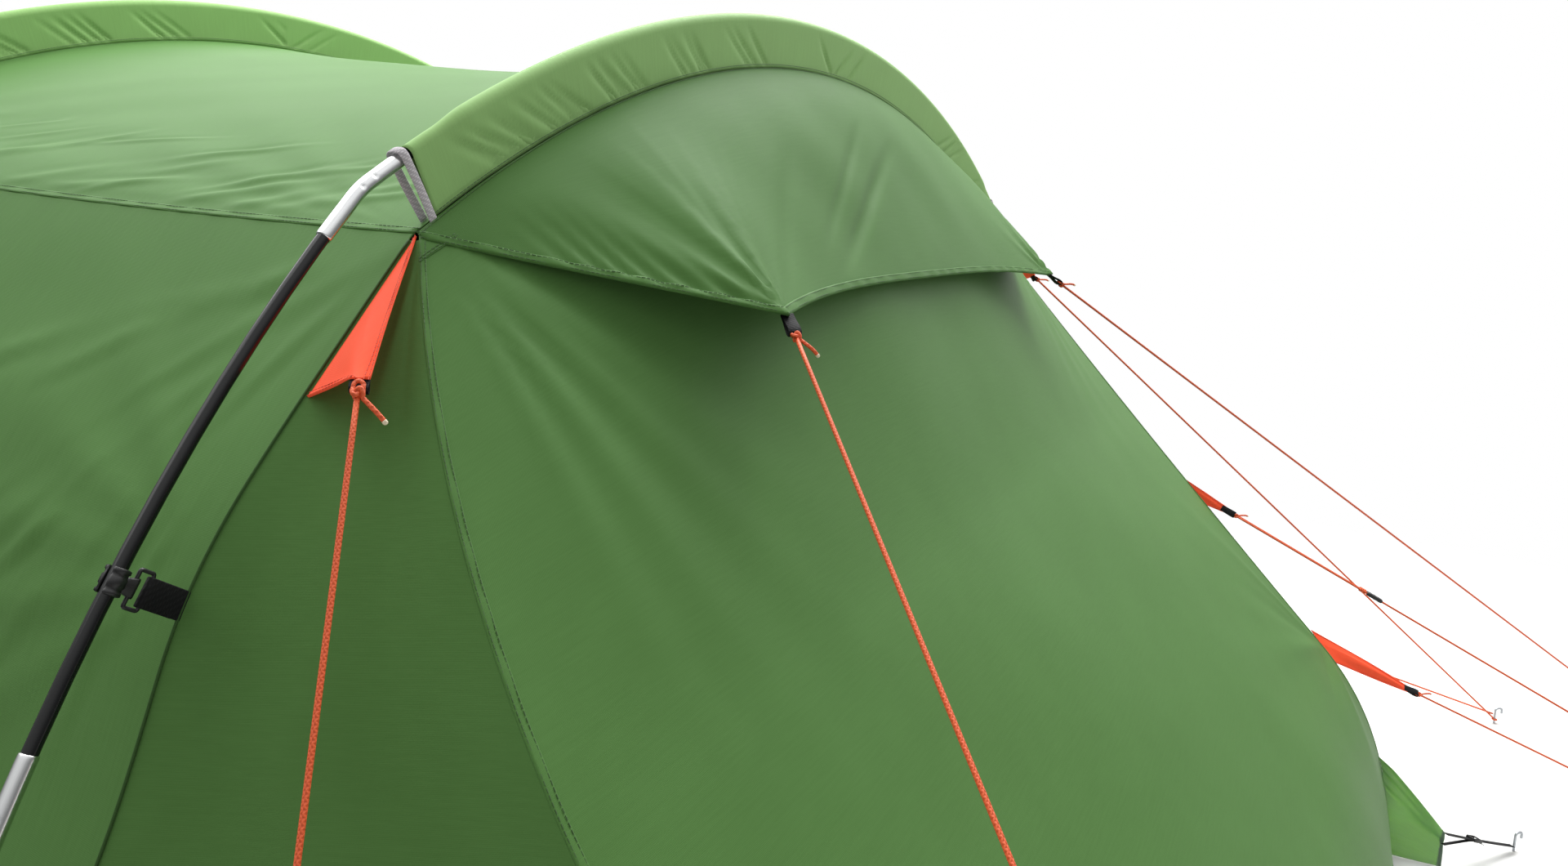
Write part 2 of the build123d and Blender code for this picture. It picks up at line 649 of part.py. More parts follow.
clips = []
straps = []
for arch in (REAR, FRONT):
    for height in CLIP_HEIGHTS:
        angle = arch.leg.angle_at_height(height)
        clips += [pole_clip(arch, angle), mirrored(pole_clip(arch, angle))]
        straps += [clip_strap(arch, angle), mirrored(clip_strap(arch, angle))]
nodes["pole_clips"] = clips
nodes["clip_straps"] = straps


# Guy patches on the shoulders and corner seams, each with a webbing tab at its tip
def short_of_peg(point, way):
    """Where a line that runs along a way to a point on a peg stops, clear of the peg."""
    reach = PEG_D / 2 + CORD_D / 2 + TAB_GAP
    return point - way * (reach / hypot(way.X, way.Y))


class Guy:
    """A guy point: a tip of cloth, the way its line runs, and the tab and knot on that way."""

    def __init__(self, tip, peg, cloth_normal=Vector(0, 0, 1)):
        self.tip = tip
        self.cloth_normal = cloth_normal
        self.way = unit(peg + Vector(0, 0, PEG_CORD_Z) - tip)
        self.end = short_of_peg(peg + Vector(0, 0, PEG_CORD_Z), self.way)
        self.tab_end = tip + self.way * (TAB_GAP + TAB_LENGTH)
        self.knot = self.tab_end + self.way * (TAB_GAP + KNOT_D / 2)
        self.start = self.knot + self.way * (KNOT_D / 2 + TAB_GAP / 2)

    def tab(self):
        middle = self.tip + self.way * (TAB_GAP + TAB_LENGTH / 2)
        middle = frame_at(middle, self.way, self.cloth_normal)
        return middle * Box(TAB_LENGTH, TAB_WIDTH, TAB)

    def knot_ball(self):
        return Pos(self.knot) * Sphere(KNOT_D / 2)

    def cord(self):
        return straight_cord(self.start, self.end)


def corner_patch(middle, along, base, reach, peg_foot):
    """A patch on the right corner seam: its two seam corners and its tip towards a peg."""
    way = unit(peg_foot - middle)
    lift = way * PATCH_LIFT
    high = middle - along * (base / 2) + lift
    low = middle + along * (base / 2) + lift
    return high, low, middle + way * reach


def patch(corners):
    """A triangular patch of cloth."""
    return plate(corners, PATCH)


def patch_normal(corners):
    """The direction square to a patch."""
    return (corners[1] - corners[0]).cross(corners[2] - corners[0]).normalized()


shoulder_corners = (
    REAR.shoulder + Vector(PATCH_LIFT, -PATCH_LIFT, 0),
    SHOULDER_PATCH_LOW + Vector(PATCH_LIFT, -PATCH_LIFT, 0),
    SHOULDER_PATCH_TIP,
)
upper_corners = corner_patch(
    rear_seam @ UPPER_PATCH_AT,
    rear_seam % UPPER_PATCH_AT,
    UPPER_PATCH_BASE,
    UPPER_PATCH_REACH,
    UPPER_PEG,
)
lower_corners = corner_patch(
    REAR_SEAM_KNEE,
    unit(rear_seam % 1 + unit(REAR_SEAM_HIP - REAR_SEAM_KNEE)),
    LOWER_PATCH_BASE,
    LOWER_PATCH_REACH,
    LOWER_PEG,
)
shoulder_patch = patch(shoulder_corners)
nodes["shoulder_patch_right"] = [shoulder_patch]
nodes["shoulder_patch_left"] = [mirrored(shoulder_patch)]
nodes["upper_corner_patches"] = [patch(upper_corners), mirrored(patch(upper_corners))]
nodes["lower_corner_patches"] = [patch(lower_corners), mirrored(patch(lower_corners))]

hood_tip = Vector(HOOD_TIP_HALF, HOOD_TIP_Y, HOOD_TIP_Z)
shoulder_normal = patch_normal(shoulder_corners)
upper_normal = patch_normal(upper_corners)
lower_normal = patch_normal(lower_corners)
guys = {
    "hood_guy_left": Guy(flipped(hood_tip), HOOD_PEG_LEFT),
    "hood_guy_right": Guy(hood_tip, HOOD_PEG_RIGHT),
    "shoulder_guy_left": Guy(
        flipped(SHOULDER_PATCH_TIP), SHOULDER_PEG_LEFT, flipped(shoulder_normal)
    ),
    "shoulder_guy_right": Guy(SHOULDER_PATCH_TIP, SHOULDER_PEG_RIGHT, shoulder_normal),
    "corner_guy_upper": Guy(upper_corners[2], UPPER_PEG, upper_normal),
    "corner_guy_lower": Guy(lower_corners[2], LOWER_PEG, lower_normal),
}
bare_tabs = (
    Guy(flipped(upper_corners[2]), flipped(UPPER_PEG), flipped(upper_normal)),
    Guy(flipped(lower_corners[2]), flipped(LOWER_PEG), flipped(lower_normal)),
)
for name, guy in guys.items():
    nodes[name] = [guy.cord()]
nodes["guy_tabs"] = [guy.tab() for guy in (*guys.values(), *bare_tabs)]
nodes["guy_knots"] = [guy.knot_ball() for guy in guys.values()]

# The right shoulder line goes on from its peg to the arch leg
return_peg = SHOULDER_PEG_RIGHT + Vector(0, 0, PEG_CORD_Z + CORD_D * 3)
return_leg = REAR.leg.point(REAR.leg.angle_at_height(RETURN_HEIGHT))
return_way = unit(return_peg - return_leg)
return_start = return_leg + return_way * (POLE_D / 2 + CORD_D)
return_end = short_of_peg(return_peg, return_way)
nodes["shoulder_guy_return"] = [straight_cord(return_start, return_end)]

# The upper corner line carries a runner, and a second strand back to its tab
upper = guys["corner_guy_upper"]
runner_middle = upper.start + (upper.end - upper.start) * RUNNER_AT
runner_frame = frame_at(runner_middle, upper.way)


def line_runner():
    """A flat runner with one bore for the line and one for the end of its second strand."""
    body = Pos(0, RUNNER_BORE_STEP / 2, 0) * Box(RUNNER_LENGTH, RUNNER_WIDTH, RUNNER_HEIGHT)
    body = fillet(body.edges().filter_by(Axis.Z), RUNNER_HEIGHT / 3)
    for step in (0.0, RUNNER_BORE_STEP):
        body -= Pos(0, step, 0) * Rot(0, 90, 0) * Cylinder(RUNNER_BORE / 2, RUNNER_LENGTH * 2)
    return runner_frame * body


strand_end = runner_frame.from_local_coords(Vector(-RUNNER_LENGTH / 2 - TAB_GAP, RUNNER_BORE_STEP, 0))
strand_side = runner_frame.y_dir * (TAB_WIDTH / 2 + CORD_D)
strand_start = upper.tab_end + strand_side + upper.way * TAB_GAP
nodes["corner_guy_strand"] = [straight_cord(strand_start, strand_end)]
nodes["line_runner"] = [line_runner()]


# Rear corner fins with a strap and an adjuster
fin_root = Vector(REAR_BASE_HALF, REAR_BASE_Y - FIN_CLEAR - REAR_BASE_BULGE, 0)
fin_top = Vector(REAR_BASE_HALF, REAR_SEAM_HIP.Y - FIN_CLEAR - REAR_HIP_BULGE, FIN_TOP_Z)
fin_foot = fin_root - Vector(0, FIN_REACH, 0)
fin_tip = fin_foot + Vector(0, 0, FIN_TIP_Z)


def corner_fin():
    """The gathered fin that stands out from the foot of the corner seam."""
    return plate([fin_root, fin_top, fin_tip, fin_foot], FABRIC)


strap_end = CORNER_PEG + Vector(0, 0, PEG_CORD_Z)
strap_way = unit(strap_end - fin_tip)
strap_length = (strap_end - fin_tip).length - PEG_D
strap_frame = frame_at(fin_tip + strap_way * (TAB_GAP + FABRIC), strap_way)
strap_run = strap_length - FABRIC - TAB_GAP * 2
corner_strap = strap_frame * (Pos(strap_run / 2, 0, 0) * Box(strap_run, CORNER_STRAP_WIDTH, STRAP))
slot_size = (CORNER_STRAP_WIDTH + 2 * ADJUSTER_FIT, STRAP + 2 * ADJUSTER_FIT)
adjuster_slot = Box(ADJUSTER_LENGTH * 2, *slot_size)
adjuster_block = Box(ADJUSTER_LENGTH, ADJUSTER_WIDTH, ADJUSTER_HEIGHT)
adjuster_block = fillet(adjuster_block.edges().filter_by(Axis.Z), ADJUSTER_HEIGHT / 3)
adjuster = strap_frame * (Pos(strap_run * ADJUSTER_AT, 0, 0) * (adjuster_block - adjuster_slot))
nodes["corner_fins"] = [corner_fin(), mirrored(corner_fin())]
nodes["corner_straps"] = [corner_strap, mirrored(corner_strap)]
nodes["strap_adjuster_right"] = [adjuster]
nodes["strap_adjuster_left"] = [mirrored(adjuster)]


# Pegs
def peg(foot, away):
    """A hooked peg from the ground up, its hook turned away from the tent."""
    out = unit(Vector(away.X, away.Y, 0))
    rise = Vector(0, 0, PEG_HEIGHT)
    points = [foot, foot + rise, foot + rise + out * PEG_HOOK]
    points.append(points[2] - Vector(0, 0, PEG_HOOK_DROP))
    path = FilletPolyline(*points, radius=PEG_BEND)
    return sweep(Plane(foot) * Circle(PEG_D / 2), path=path)


peg_feet = {
    "hood_guy_left": HOOD_PEG_LEFT,
    "hood_guy_right": HOOD_PEG_RIGHT,
    "shoulder_guy_left": SHOULDER_PEG_LEFT,
    "shoulder_guy_right": SHOULDER_PEG_RIGHT,
    "corner_guy_upper": UPPER_PEG,
    "corner_guy_lower": LOWER_PEG,
}
pegs = [peg(foot, guys[name].way) for name, foot in peg_feet.items()]
pegs += [peg(CORNER_PEG, strap_way), peg(flipped(CORNER_PEG), flipped(strap_way))]
nodes["ground_pegs"] = pegs

os.makedirs("parts", exist_ok=True)
for name, solids in nodes.items():
    flat = [solid for shape in solids for solid in shape.solids()]
    export_step(Compound(children=flat) if len(flat) > 1 else flat[0], f"parts/{name}.step")


# Each guy line is one straight run, so its tube is checked against its section times its length
cord_ends = {name: (guy.start, guy.end) for name, guy in guys.items()}
cord_ends["shoulder_guy_return"] = (return_start, return_end)
cord_ends["corner_guy_strand"] = (strand_start, strand_end)
for name, (start, end) in cord_ends.items():
    length = (end - start).length
    share = nodes[name][0].volume / (pi * CORD_D**2 / 4 * length)
    print(f"{name}: one straight run of {length:.1f} mm, volume over section times length {share:.4f}")
print(f"{len(nodes)} nodes")
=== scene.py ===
import logging
import math
from dataclasses import dataclass, field
from enum import Enum

import bmesh
import bpy
import numpy as np
from mathutils import Matrix, Vector
from mathutils.bvhtree import BVHTree


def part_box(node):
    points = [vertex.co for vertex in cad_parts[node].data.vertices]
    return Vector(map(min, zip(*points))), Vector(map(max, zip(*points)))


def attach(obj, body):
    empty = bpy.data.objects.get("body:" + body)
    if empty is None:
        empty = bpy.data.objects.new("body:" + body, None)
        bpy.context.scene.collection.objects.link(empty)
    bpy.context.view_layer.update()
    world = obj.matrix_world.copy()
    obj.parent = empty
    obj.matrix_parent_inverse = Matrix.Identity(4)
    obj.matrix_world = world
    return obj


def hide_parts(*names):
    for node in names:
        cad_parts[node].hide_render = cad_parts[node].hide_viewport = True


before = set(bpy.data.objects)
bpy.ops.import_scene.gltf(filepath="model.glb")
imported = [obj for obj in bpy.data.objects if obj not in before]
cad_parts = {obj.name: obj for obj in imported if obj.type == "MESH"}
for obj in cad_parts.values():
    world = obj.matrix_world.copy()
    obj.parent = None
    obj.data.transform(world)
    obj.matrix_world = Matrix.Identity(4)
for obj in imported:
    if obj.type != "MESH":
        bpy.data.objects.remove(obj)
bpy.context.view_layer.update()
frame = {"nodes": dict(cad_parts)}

# A tunnel tent on two pole arches. X runs across, Y from the rear wall to the door, Z up,
# in metres, with the rear arch standing over the origin.

Array = np.ndarray
Object = bpy.types.Object
Material = bpy.types.Material
Tree = bpy.types.NodeTree
Node = bpy.types.Node
Socket = bpy.types.NodeSocket
log = logging.getLogger("tent")


class Slot(Enum):
    """The material slots that the scene's own pieces take."""

    FERRULE = "aluminium_ferrule"
    SLEEVE = "sleeve_fabric"
    CLOTH = "green_fabric"
    GREY_WEB = "grey_webbing"
    FLOOR = "floor_fabric"
    COIL = "zip_coil"
    ZIP_METAL = "zip_metal"
    PLASTIC = "black_plastic"
    BLACK_WEB = "black_webbing"
    PATCH = "orange_fabric"
    CORD = "orange_cord"


class Edge(Enum):
    """The sides of a panel's grid of points."""

    TOP = 0
    FOOT = 1
    LEFT = 2
    RIGHT = 3


SIDES = {-1: "left", 1: "right"}
AHEAD = np.array([0.0, 1.0, 0.0])
# How far above the ground a line or a strap is held by its peg.
PEG_HOLD = np.array([0.0, 0.0, 0.012])


# Small vector and mesh helpers
def unit(vectors: Array) -> Array:
    """The direction of each vector."""
    vectors = np.asarray(vectors, float)
    return vectors / np.maximum(np.linalg.norm(vectors, axis=-1, keepdims=True), 1e-12)


def ease(x: Array, low: float, high: float) -> Array:
    """A soft step that goes from 0 at low to 1 at high."""
    t = np.clip((x - low) / (high - low), 0, 1)
    return t * t * (3 - 2 * t)


def mix(a: Array, b: Array, t: Array) -> Array:
    """The points a share t of the way from a to b."""
    return a + (b - a) * np.asarray(t)[..., None]


def side_of(points: Array, side: int) -> Array:
    """The points on the right, or mirrored to the left where side is -1."""
    return np.asarray(points, float) * np.array([side, 1.0, 1.0])


def lengths(path: Array) -> Array:
    """The distance along a path at each of its points."""
    return np.concatenate([[0.0], np.cumsum(np.linalg.norm(np.diff(path, axis=0), axis=1))])


def along(path: Array, share: Array) -> Array:
    """Points along a path.

    Args:
        path: The path's points.
        share: The shares of its length at which points are wanted.

    Returns:
        The points.
    """
    run = lengths(path)
    at = np.asarray(share) * run[-1]
    return np.stack([np.interp(at, run, path[:, k]) for k in range(3)], -1)


def arc_through(a: Array, b: Array, c: Array, count: int) -> Array:
    """Points on the circular arc from a through b to c.

    Args:
        a: The arc's start.
        b: A point on the way.
        c: The arc's end.
        count: How many points to give.

    Returns:
        The points, evenly spaced.
    """
    a, b, c = (np.asarray(p, float) for p in (a, b, c))
    u, v = b - a, c - a
    w = np.cross(u, v)
    centre = a + (np.cross(w, u) * (v @ v) + np.cross(v, w) * (u @ u)) / (2 * (w @ w))
    x = a - centre
    y = np.cross(unit(w), x)
    end = math.atan2((c - centre) @ y, (c - centre) @ x) % (2 * math.pi)
    t = np.linspace(0, end, count)[:, None]
    return centre + x * np.cos(t) + y * np.sin(t)


def outward(grid: Array, inside: Array) -> Array:
    """The direction square to a grid of points, at each point.

    Args:
        grid: The points.
        inside: A point that the directions lead away from.

    Returns:
        The directions.
    """
    out = unit(np.cross(np.gradient(grid, axis=0), np.gradient(grid, axis=1)))
    away = grid - np.asarray(inside)
    return -out if np.einsum("ijk,ijk->", out, away) < 0 else out


def frames(path: Array, hint: Array) -> tuple[Array, Array]:
    """Two directions square to a path, carried along it without a twist.

    Args:
        path: The points of the path.
        hint: The way the first direction leans at the start.

    Returns:
        The two directions at each point.
    """
    tangent = unit(np.gradient(path, axis=0))
    first = np.empty_like(path)
    lean = np.asarray(hint, float)
    for i, t in enumerate(tangent):
        lean = unit(lean - t * (lean @ t))
        first[i] = lean
    return first, np.cross(tangent, first)


def waves(points: Array, size: float, seed: int) -> Array:
    """A soft random swell over points, between about -1 and 1.

    Args:
        points: Where the swell is wanted.
        size: The length of its waves, in metres.
        seed: Which swell to give.

    Returns:
        The swell at each point.
    """
    rng = np.random.default_rng(seed)
    total = np.zeros(points.shape[:-1])
    for _ in range(9):
        way = unit(rng.normal(size=3)) * 2 * math.pi / (size * rng.uniform(0.7, 1.6))
        total += np.sin(points @ way + rng.uniform(0, 2 * math.pi))
    return total / 4.0


def fan(points: Array, apex: Array, axis: Array, out: Array, folds: tuple, reach: float) -> Array:
    """Folds that spread from a point where cloth is pulled.

    Args:
        points: The cloth's points.
        apex: Where the pull is.
        axis: The direction of angle 0.
        out: The cloth's outward direction at the apex.
        folds: For each fold its angle and half width in degrees, and its height.
        reach: How far from the apex the folds stand highest.

    Returns:
        The height of the folds at each point.
    """
    x = unit(np.asarray(axis, float))
    y = np.cross(unit(np.asarray(out, float)), x)
    arm = points - np.asarray(apex)
    radius = np.linalg.norm(arm, axis=-1)
    angle = np.degrees(np.arctan2(arm @ y, arm @ x))
    height = sum(h * np.exp(-(((angle - a) / w) ** 2)) for a, w, h in folds)
    return height * (radius / reach) * np.exp(1 - radius / reach)


def mirrored(folds: tuple, side: int) -> list[tuple]:
    """A fan's folds with their angles turned to a side."""
    return [(side * angle, width, height) for angle, width, height in folds]


def wrinkle(
    x: Array, y: Array, lean: float, rng: np.random.Generator, long: tuple, wide: tuple, high: tuple
) -> Array:
    """One short wrinkle of random size, a ridge with a hollow beside it.

    Args:
        x: How far each point is from the wrinkle's middle, the first way.
        y: How far it is the second way.
        lean: The angle of the wrinkle from the first way to the second.
        rng: What draws its size.
        long: The least and the most of its half length.
        wide: The least and the most of its half width.
        high: The least and the most of its height.

    Returns:
        The wrinkle's height at each point.
    """
    length = (x * math.cos(lean) + y * math.sin(lean)) / rng.uniform(*long)
    width = (y * math.cos(lean) - x * math.sin(lean)) / rng.uniform(*wide)
    ridge = np.exp(-(width**2)) - 0.5 * np.exp(-((width - 1.5) ** 2))
    return rng.uniform(*high) * ridge * np.exp(-(length**2))


@dataclass
class Grid:
    """A sheet of points that becomes quads, with the size of its cloth as its UV map."""

    points: Array
    wrap: bool = False
    caps: bool = False
    uv: Array | None = None

    def faces(self) -> tuple[list, list]:
        """The faces of the sheet.

        Returns:
            For each face the numbers of its points, and the UV of every face's corners in turn.
        """
        rows, cols = self.points.shape[:2]
        if self.uv is None:
            u = lengths(self.points[:, cols // 2])
            ring = self.points[rows // 2]
            v = lengths(np.concatenate([ring, ring[:1]]) if self.wrap else ring)
        faces, spots = [], []
        for i in range(rows - 1):
            for j in range(cols if self.wrap else cols - 1):
                corners = ((i, j), (i + 1, j), (i + 1, j + 1), (i, j + 1))
                faces.append([a * cols + b % cols for a, b in corners])
                if self.uv is None:
                    spots += [(v[b], u[a]) for a, b in corners]
                else:
                    spots += [tuple(self.uv[a, b % cols]) for a, b in corners]
        if self.caps:
            for row, turn in ((0, 1), (rows - 1, -1)):
                faces.append([row * cols + j for j in range(cols)][::turn])
                spots += [(0.0, 0.0)] * cols
        return faces, spots


def linked(name: str, data: bpy.types.ID) -> Object:
    """A new object in the scene.

    Args:
        name: The object's name.
        data: Its mesh, curve, light or camera.

    Returns:
        The object.
    """
    made = bpy.data.objects.new(name, data)
    bpy.context.scene.collection.objects.link(made)
    return made


def shaped(name: str, verts: list, faces: list) -> Object:
    """A new object with smooth faces.

    Args:
        name: The object's name.
        verts: Its points.
        faces: For each face the numbers of its points.

    Returns:
        The object, in the scene.
    """
    mesh = bpy.data.meshes.new(name)
    mesh.from_pydata(verts, [], faces)
    mesh.polygons.foreach_set("use_smooth", [True] * len(mesh.polygons))
    mesh.update()
    return linked(name, mesh)


def baked(holder: Object) -> bpy.types.Mesh:
    """The mesh that an object's curve or modifiers make.

    Args:
        holder: The object, which is removed.

    Returns:
        The mesh.
    """
    graph = bpy.context.evaluated_depsgraph_get()
    mesh = bpy.data.meshes.new_from_object(holder.evaluated_get(graph))
    bpy.data.objects.remove(holder)
    return mesh


def make(name: str, grids: list[Grid], inside: Array | None = None) -> Object:
    """One object from grids of points.

    Args:
        name: The object's name.
        grids: Its parts.
        inside: A point that the faces look away from; without it each part is closed.

    Returns:
        The object, in the scene, with smooth faces that point outwards.
    """
    verts, faces, spots = [], [], []
    for grid in grids:
        rows, uv = grid.faces()
        flat = grid.points.reshape(-1, 3)
        corners = np.array([f[:3] for f in rows])
        a, b, c = (flat[corners[:, k]] for k in range(3))
        square = np.cross(b - a, c - a)
        away = a - (flat.mean(0) if inside is None else np.asarray(inside))
        if np.einsum("ij,ij->", square, away) < 0:
            rows = [f[::-1] for f in rows]
            ends = np.cumsum([len(f) for f in rows])
            uv = [s for e, f in zip(ends, rows) for s in uv[e - len(f) : e][::-1]]
        start = len(verts)
        verts += flat.tolist()
        faces += [[k + start for k in f] for f in rows]
        spots += uv
    piece = shaped(name, verts, faces)
    layer = piece.data.uv_layers.new(name="UVMap")
    layer.data.foreach_set("uv", np.asarray(spots, np.float32).ravel())
    return piece


def crisp_edges(grid: Array, inset: float = 0.0015) -> Array:
    """A panel's points with one more line just inside each edge, so that its fold looks sharp.

    Args:
        grid: The panel's points.
        inset: How far inside the edge the new lines lie.

    Returns:
        The points with the new lines.
    """
    for _ in range(2):
        ends = []
        for edge, beside in ((grid[0], grid[1]), (grid[-1], grid[-2])):
            gap = np.linalg.norm(beside - edge, axis=-1, keepdims=True)
            ends.append(edge + (beside - edge) * np.minimum(0.4, inset / np.maximum(gap, 1e-9)))
        rows = [grid[:1], ends[0][None], grid[1:-1], ends[1][None], grid[-1:]]
        grid = np.concatenate(rows).transpose(1, 0, 2)
    return grid


def laid_on(points: Array, grid: Array, inside: Array, lift: float) -> Array:
    """Points moved to the nearest place on a panel and lifted off it.

    Args:
        points: The points.
        grid: The panel's points.
        inside: A point behind the panel.
        lift: How far above the panel the points end.

    Returns:
        The moved points.
    """
    cloth = BVHTree.FromPolygons(grid.reshape(-1, 3).tolist(), Grid(grid).faces()[0])
    moved = []
    for point in points.reshape(-1, 3):
        spot, out, *_ = cloth.find_nearest(Vector(point))
        turn = 1 if out.dot(spot - Vector(inside)) > 0 else -1
        moved.append(spot + out * (lift * turn))
    return np.array(moved).reshape(points.shape)


def tube(
    path: Array, radius: Array | float, sides: int = 12, hint: Array = (0.3, 0.2, 1.0)
) -> Grid:
    """A closed round tube along a path.

    Args:
        path: The points it follows.
        radius: Its radius, or one for each point.
        sides: How many sides it has.
        hint: The way its first side leans.

    Returns:
        The tube's grid.
    """
    first, second = frames(path, hint)
    turn = np.linspace(0, 2 * math.pi, sides, endpoint=False)
    ring = np.cos(turn)[:, None] * first[:, None] + np.sin(turn)[:, None] * second[:, None]
    size = np.broadcast_to(np.asarray(radius, float), len(path))[:, None, None]
    return Grid(path[:, None] + ring * size, wrap=True, caps=True)


def ribbon(path: Array, across: Array, width: float, thick: float) -> Grid:
    """A flat woven strip along a path.

    Args:
        path: The points that its middle follows.
        across: The way its width lies.
        width: Its width.
        thick: Its thickness.

    Returns:
        The strip's grid, closed all round.
    """
    tangent = unit(np.gradient(path, axis=0))
    across = np.broadcast_to(np.asarray(across, float), path.shape)
    across = unit(across - tangent * np.sum(across * tangent, -1, keepdims=True))
    up = np.cross(tangent, across)
    half, rise, soft = width / 2, thick / 2, thick * 0.6
    low = [(-half, -rise * 0.3), (-half + soft, -rise), (half - soft, -rise), (half, -rise * 0.3)]
    outline = low + [(-x, -y) for x, y in low]
    ring = np.stack([across * x + up * y for x, y in outline], 1)
    return Grid(path[:, None] + ring, wrap=True, caps=True)


def smooth_line(points: Array, count: int) -> Array:
    """Points read from a smooth curve drawn by a few route points.

    Args:
        points: The route's points.
        count: How many points to give.

    Returns:
        The points, evenly spaced along the curve.
    """
    curve = bpy.data.curves.new("route", "CURVE")
    curve.dimensions = "3D"
    spline = curve.splines.new("NURBS")
    spline.points.add(len(points) - 1)
    for target, point in zip(spline.points, points):
        target.co = (*[float(x) for x in point], 1.0)
    spline.order_u = min(3, len(points))
    spline.use_endpoint_u = True
    spline.resolution_u = 24
    mesh = baked(linked("route", curve))
    path = np.array([v.co for v in mesh.vertices], float)
    bpy.data.meshes.remove(mesh)
    return along(path, np.linspace(0, 1, count))


def assemble(name: str, place: Matrix, shapes: list[tuple]) -> Object:
    """One object from moulded blocks with rounded edges.

    Args:
        name: The object's name.
        place: Where its own frame lies.
        shapes: For each block its three sides, the radius of its edges and its middle.

    Returns:
        The object, in the scene.
    """
    verts, faces = [], []
    for size, radius, middle in shapes:
        shape = bmesh.new()
        bmesh.ops.create_cube(shape, size=1.0, matrix=Matrix.Diagonal((*size, 1.0)))
        bmesh.ops.bevel(
            shape, geom=shape.edges[:], offset=radius, segments=2, affect="EDGES", profile=0.5
        )
        spot = place @ Matrix.Translation(middle)
        bmesh.ops.transform(shape, matrix=spot, verts=shape.verts[:])
        shape.verts.index_update()
        faces += [[v.index + len(verts) for v in f.verts] for f in shape.faces]
        verts += [v.co[:] for v in shape.verts]
        shape.free()
    return shaped(name, verts, faces)


def axes_at(origin: Array, x: Array, up: Array = (0, 0, 1)) -> Matrix:
    """A placement with a given X axis.

    Args:
        origin: Where it lies.
        x: The way of its X axis.
        up: The way that its Z axis leans.

    Returns:
        The placement.
    """
    x = unit(np.asarray(x, float))
    y = unit(np.cross(np.asarray(up, float), x))
    z = np.cross(x, y)
    turn = Matrix(np.stack([x, y, z], 1).tolist()).to_4x4()
    return Matrix.Translation(Vector(np.asarray(origin, float).tolist())) @ turn


def place_piece(
    piece: Object, material: Material, nodes: tuple = (), body: str = "tent"
) -> Object:
    """Gives a piece its finish, its body and the CAD nodes that it stands for.

    Args:
        piece: The piece.
        material: Its finish.
        nodes: The CAD nodes that it replaces.
        body: The body that it moves with.

    Returns:
        The same piece.
    """
    piece.data.materials.clear()
    piece.data.materials.append(material)
    if nodes:
        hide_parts(*nodes)
    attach(piece, body)
    log.info("%s rides on %s", piece.name, body)
    return piece


# Finishes
def linear(code: str) -> tuple[float, float, float, float]:
    """The linear colour of an sRGB hex code."""
    parts = [int(code[k : k + 2], 16) / 255 for k in (1, 3, 5)]
    return (*[c / 12.92 if c <= 0.04045 else ((c + 0.055) / 1.055) ** 2.4 for c in parts], 1.0)


def feed(tree: Tree, node: Node, values: dict) -> None:
    """Sets inputs of a node.

    Args:
        tree: The node tree.
        node: The node.
        values: For each input its constant value, or the output that is linked to it.
    """
    for name, value in values.items():
        if isinstance(value, Socket):
            tree.links.new(value, node.inputs[name])
        else:
            node.inputs[name].default_value = value


def add(tree: Tree, kind: str, values: dict, **settings) -> Node:
    """Adds a node to a tree.

    Args:
        tree: The node tree.
        kind: The node's type.
        values: What its inputs are set to.
        settings: The node's own settings.

    Returns:
        The node.
    """
    made = tree.nodes.new(kind)
    for name, value in settings.items():
        setattr(made, name, value)
    feed(tree, made, values)
    return made


def new_material(name: str) -> tuple[Material, Tree, Node]:
    """A plain material.

    Args:
        name: Its name.

    Returns:
        The material, its tree and its shader.
    """
    material = bpy.data.materials.new(name)
    material.use_nodes = True
    tree = material.node_tree
    return material, tree, tree.nodes["Principled BSDF"]


def band_scale(period: float) -> float:
    """The scale at which a wave texture repeats once in a period, in metres."""
    return math.pi / (10 * period)


@dataclass(frozen=True)
class Finish:
    """A procedural finish in two close tones."""

    name: str
    colour: str
    deep: str

    def material(self) -> Material:
        """Makes the finish.

        Returns:
            The material.
        """
        material, tree, shader = new_material(self.name)
        self.dress(tree, shader)
        return material

    def dress(self, tree: Tree, shader: Node) -> None:
        """Builds the finish in a material's tree."""
        raise NotImplementedError

    def surface(self, tree: Tree, shader: Node, share: Socket, relief: tuple) -> None:
        """Mixes the two tones and raises the surface.

        Args:
            tree: The material's tree.
            shader: Its shader.
            share: Where the lighter tone shows.
            relief: The relief's height, its strength and its distance.
        """
        tones = {0: share, 6: linear(self.deep), 7: linear(self.colour)}
        colour = add(tree, "ShaderNodeMix", tones, data_type="RGBA")
        height, strength, distance = relief
        raised = {"Strength": strength, "Distance": distance, "Height": height}
        bump = add(tree, "ShaderNodeBump", raised)
        feed(tree, shader, {"Base Color": colour.outputs[2], "Normal": bump.outputs[0]})


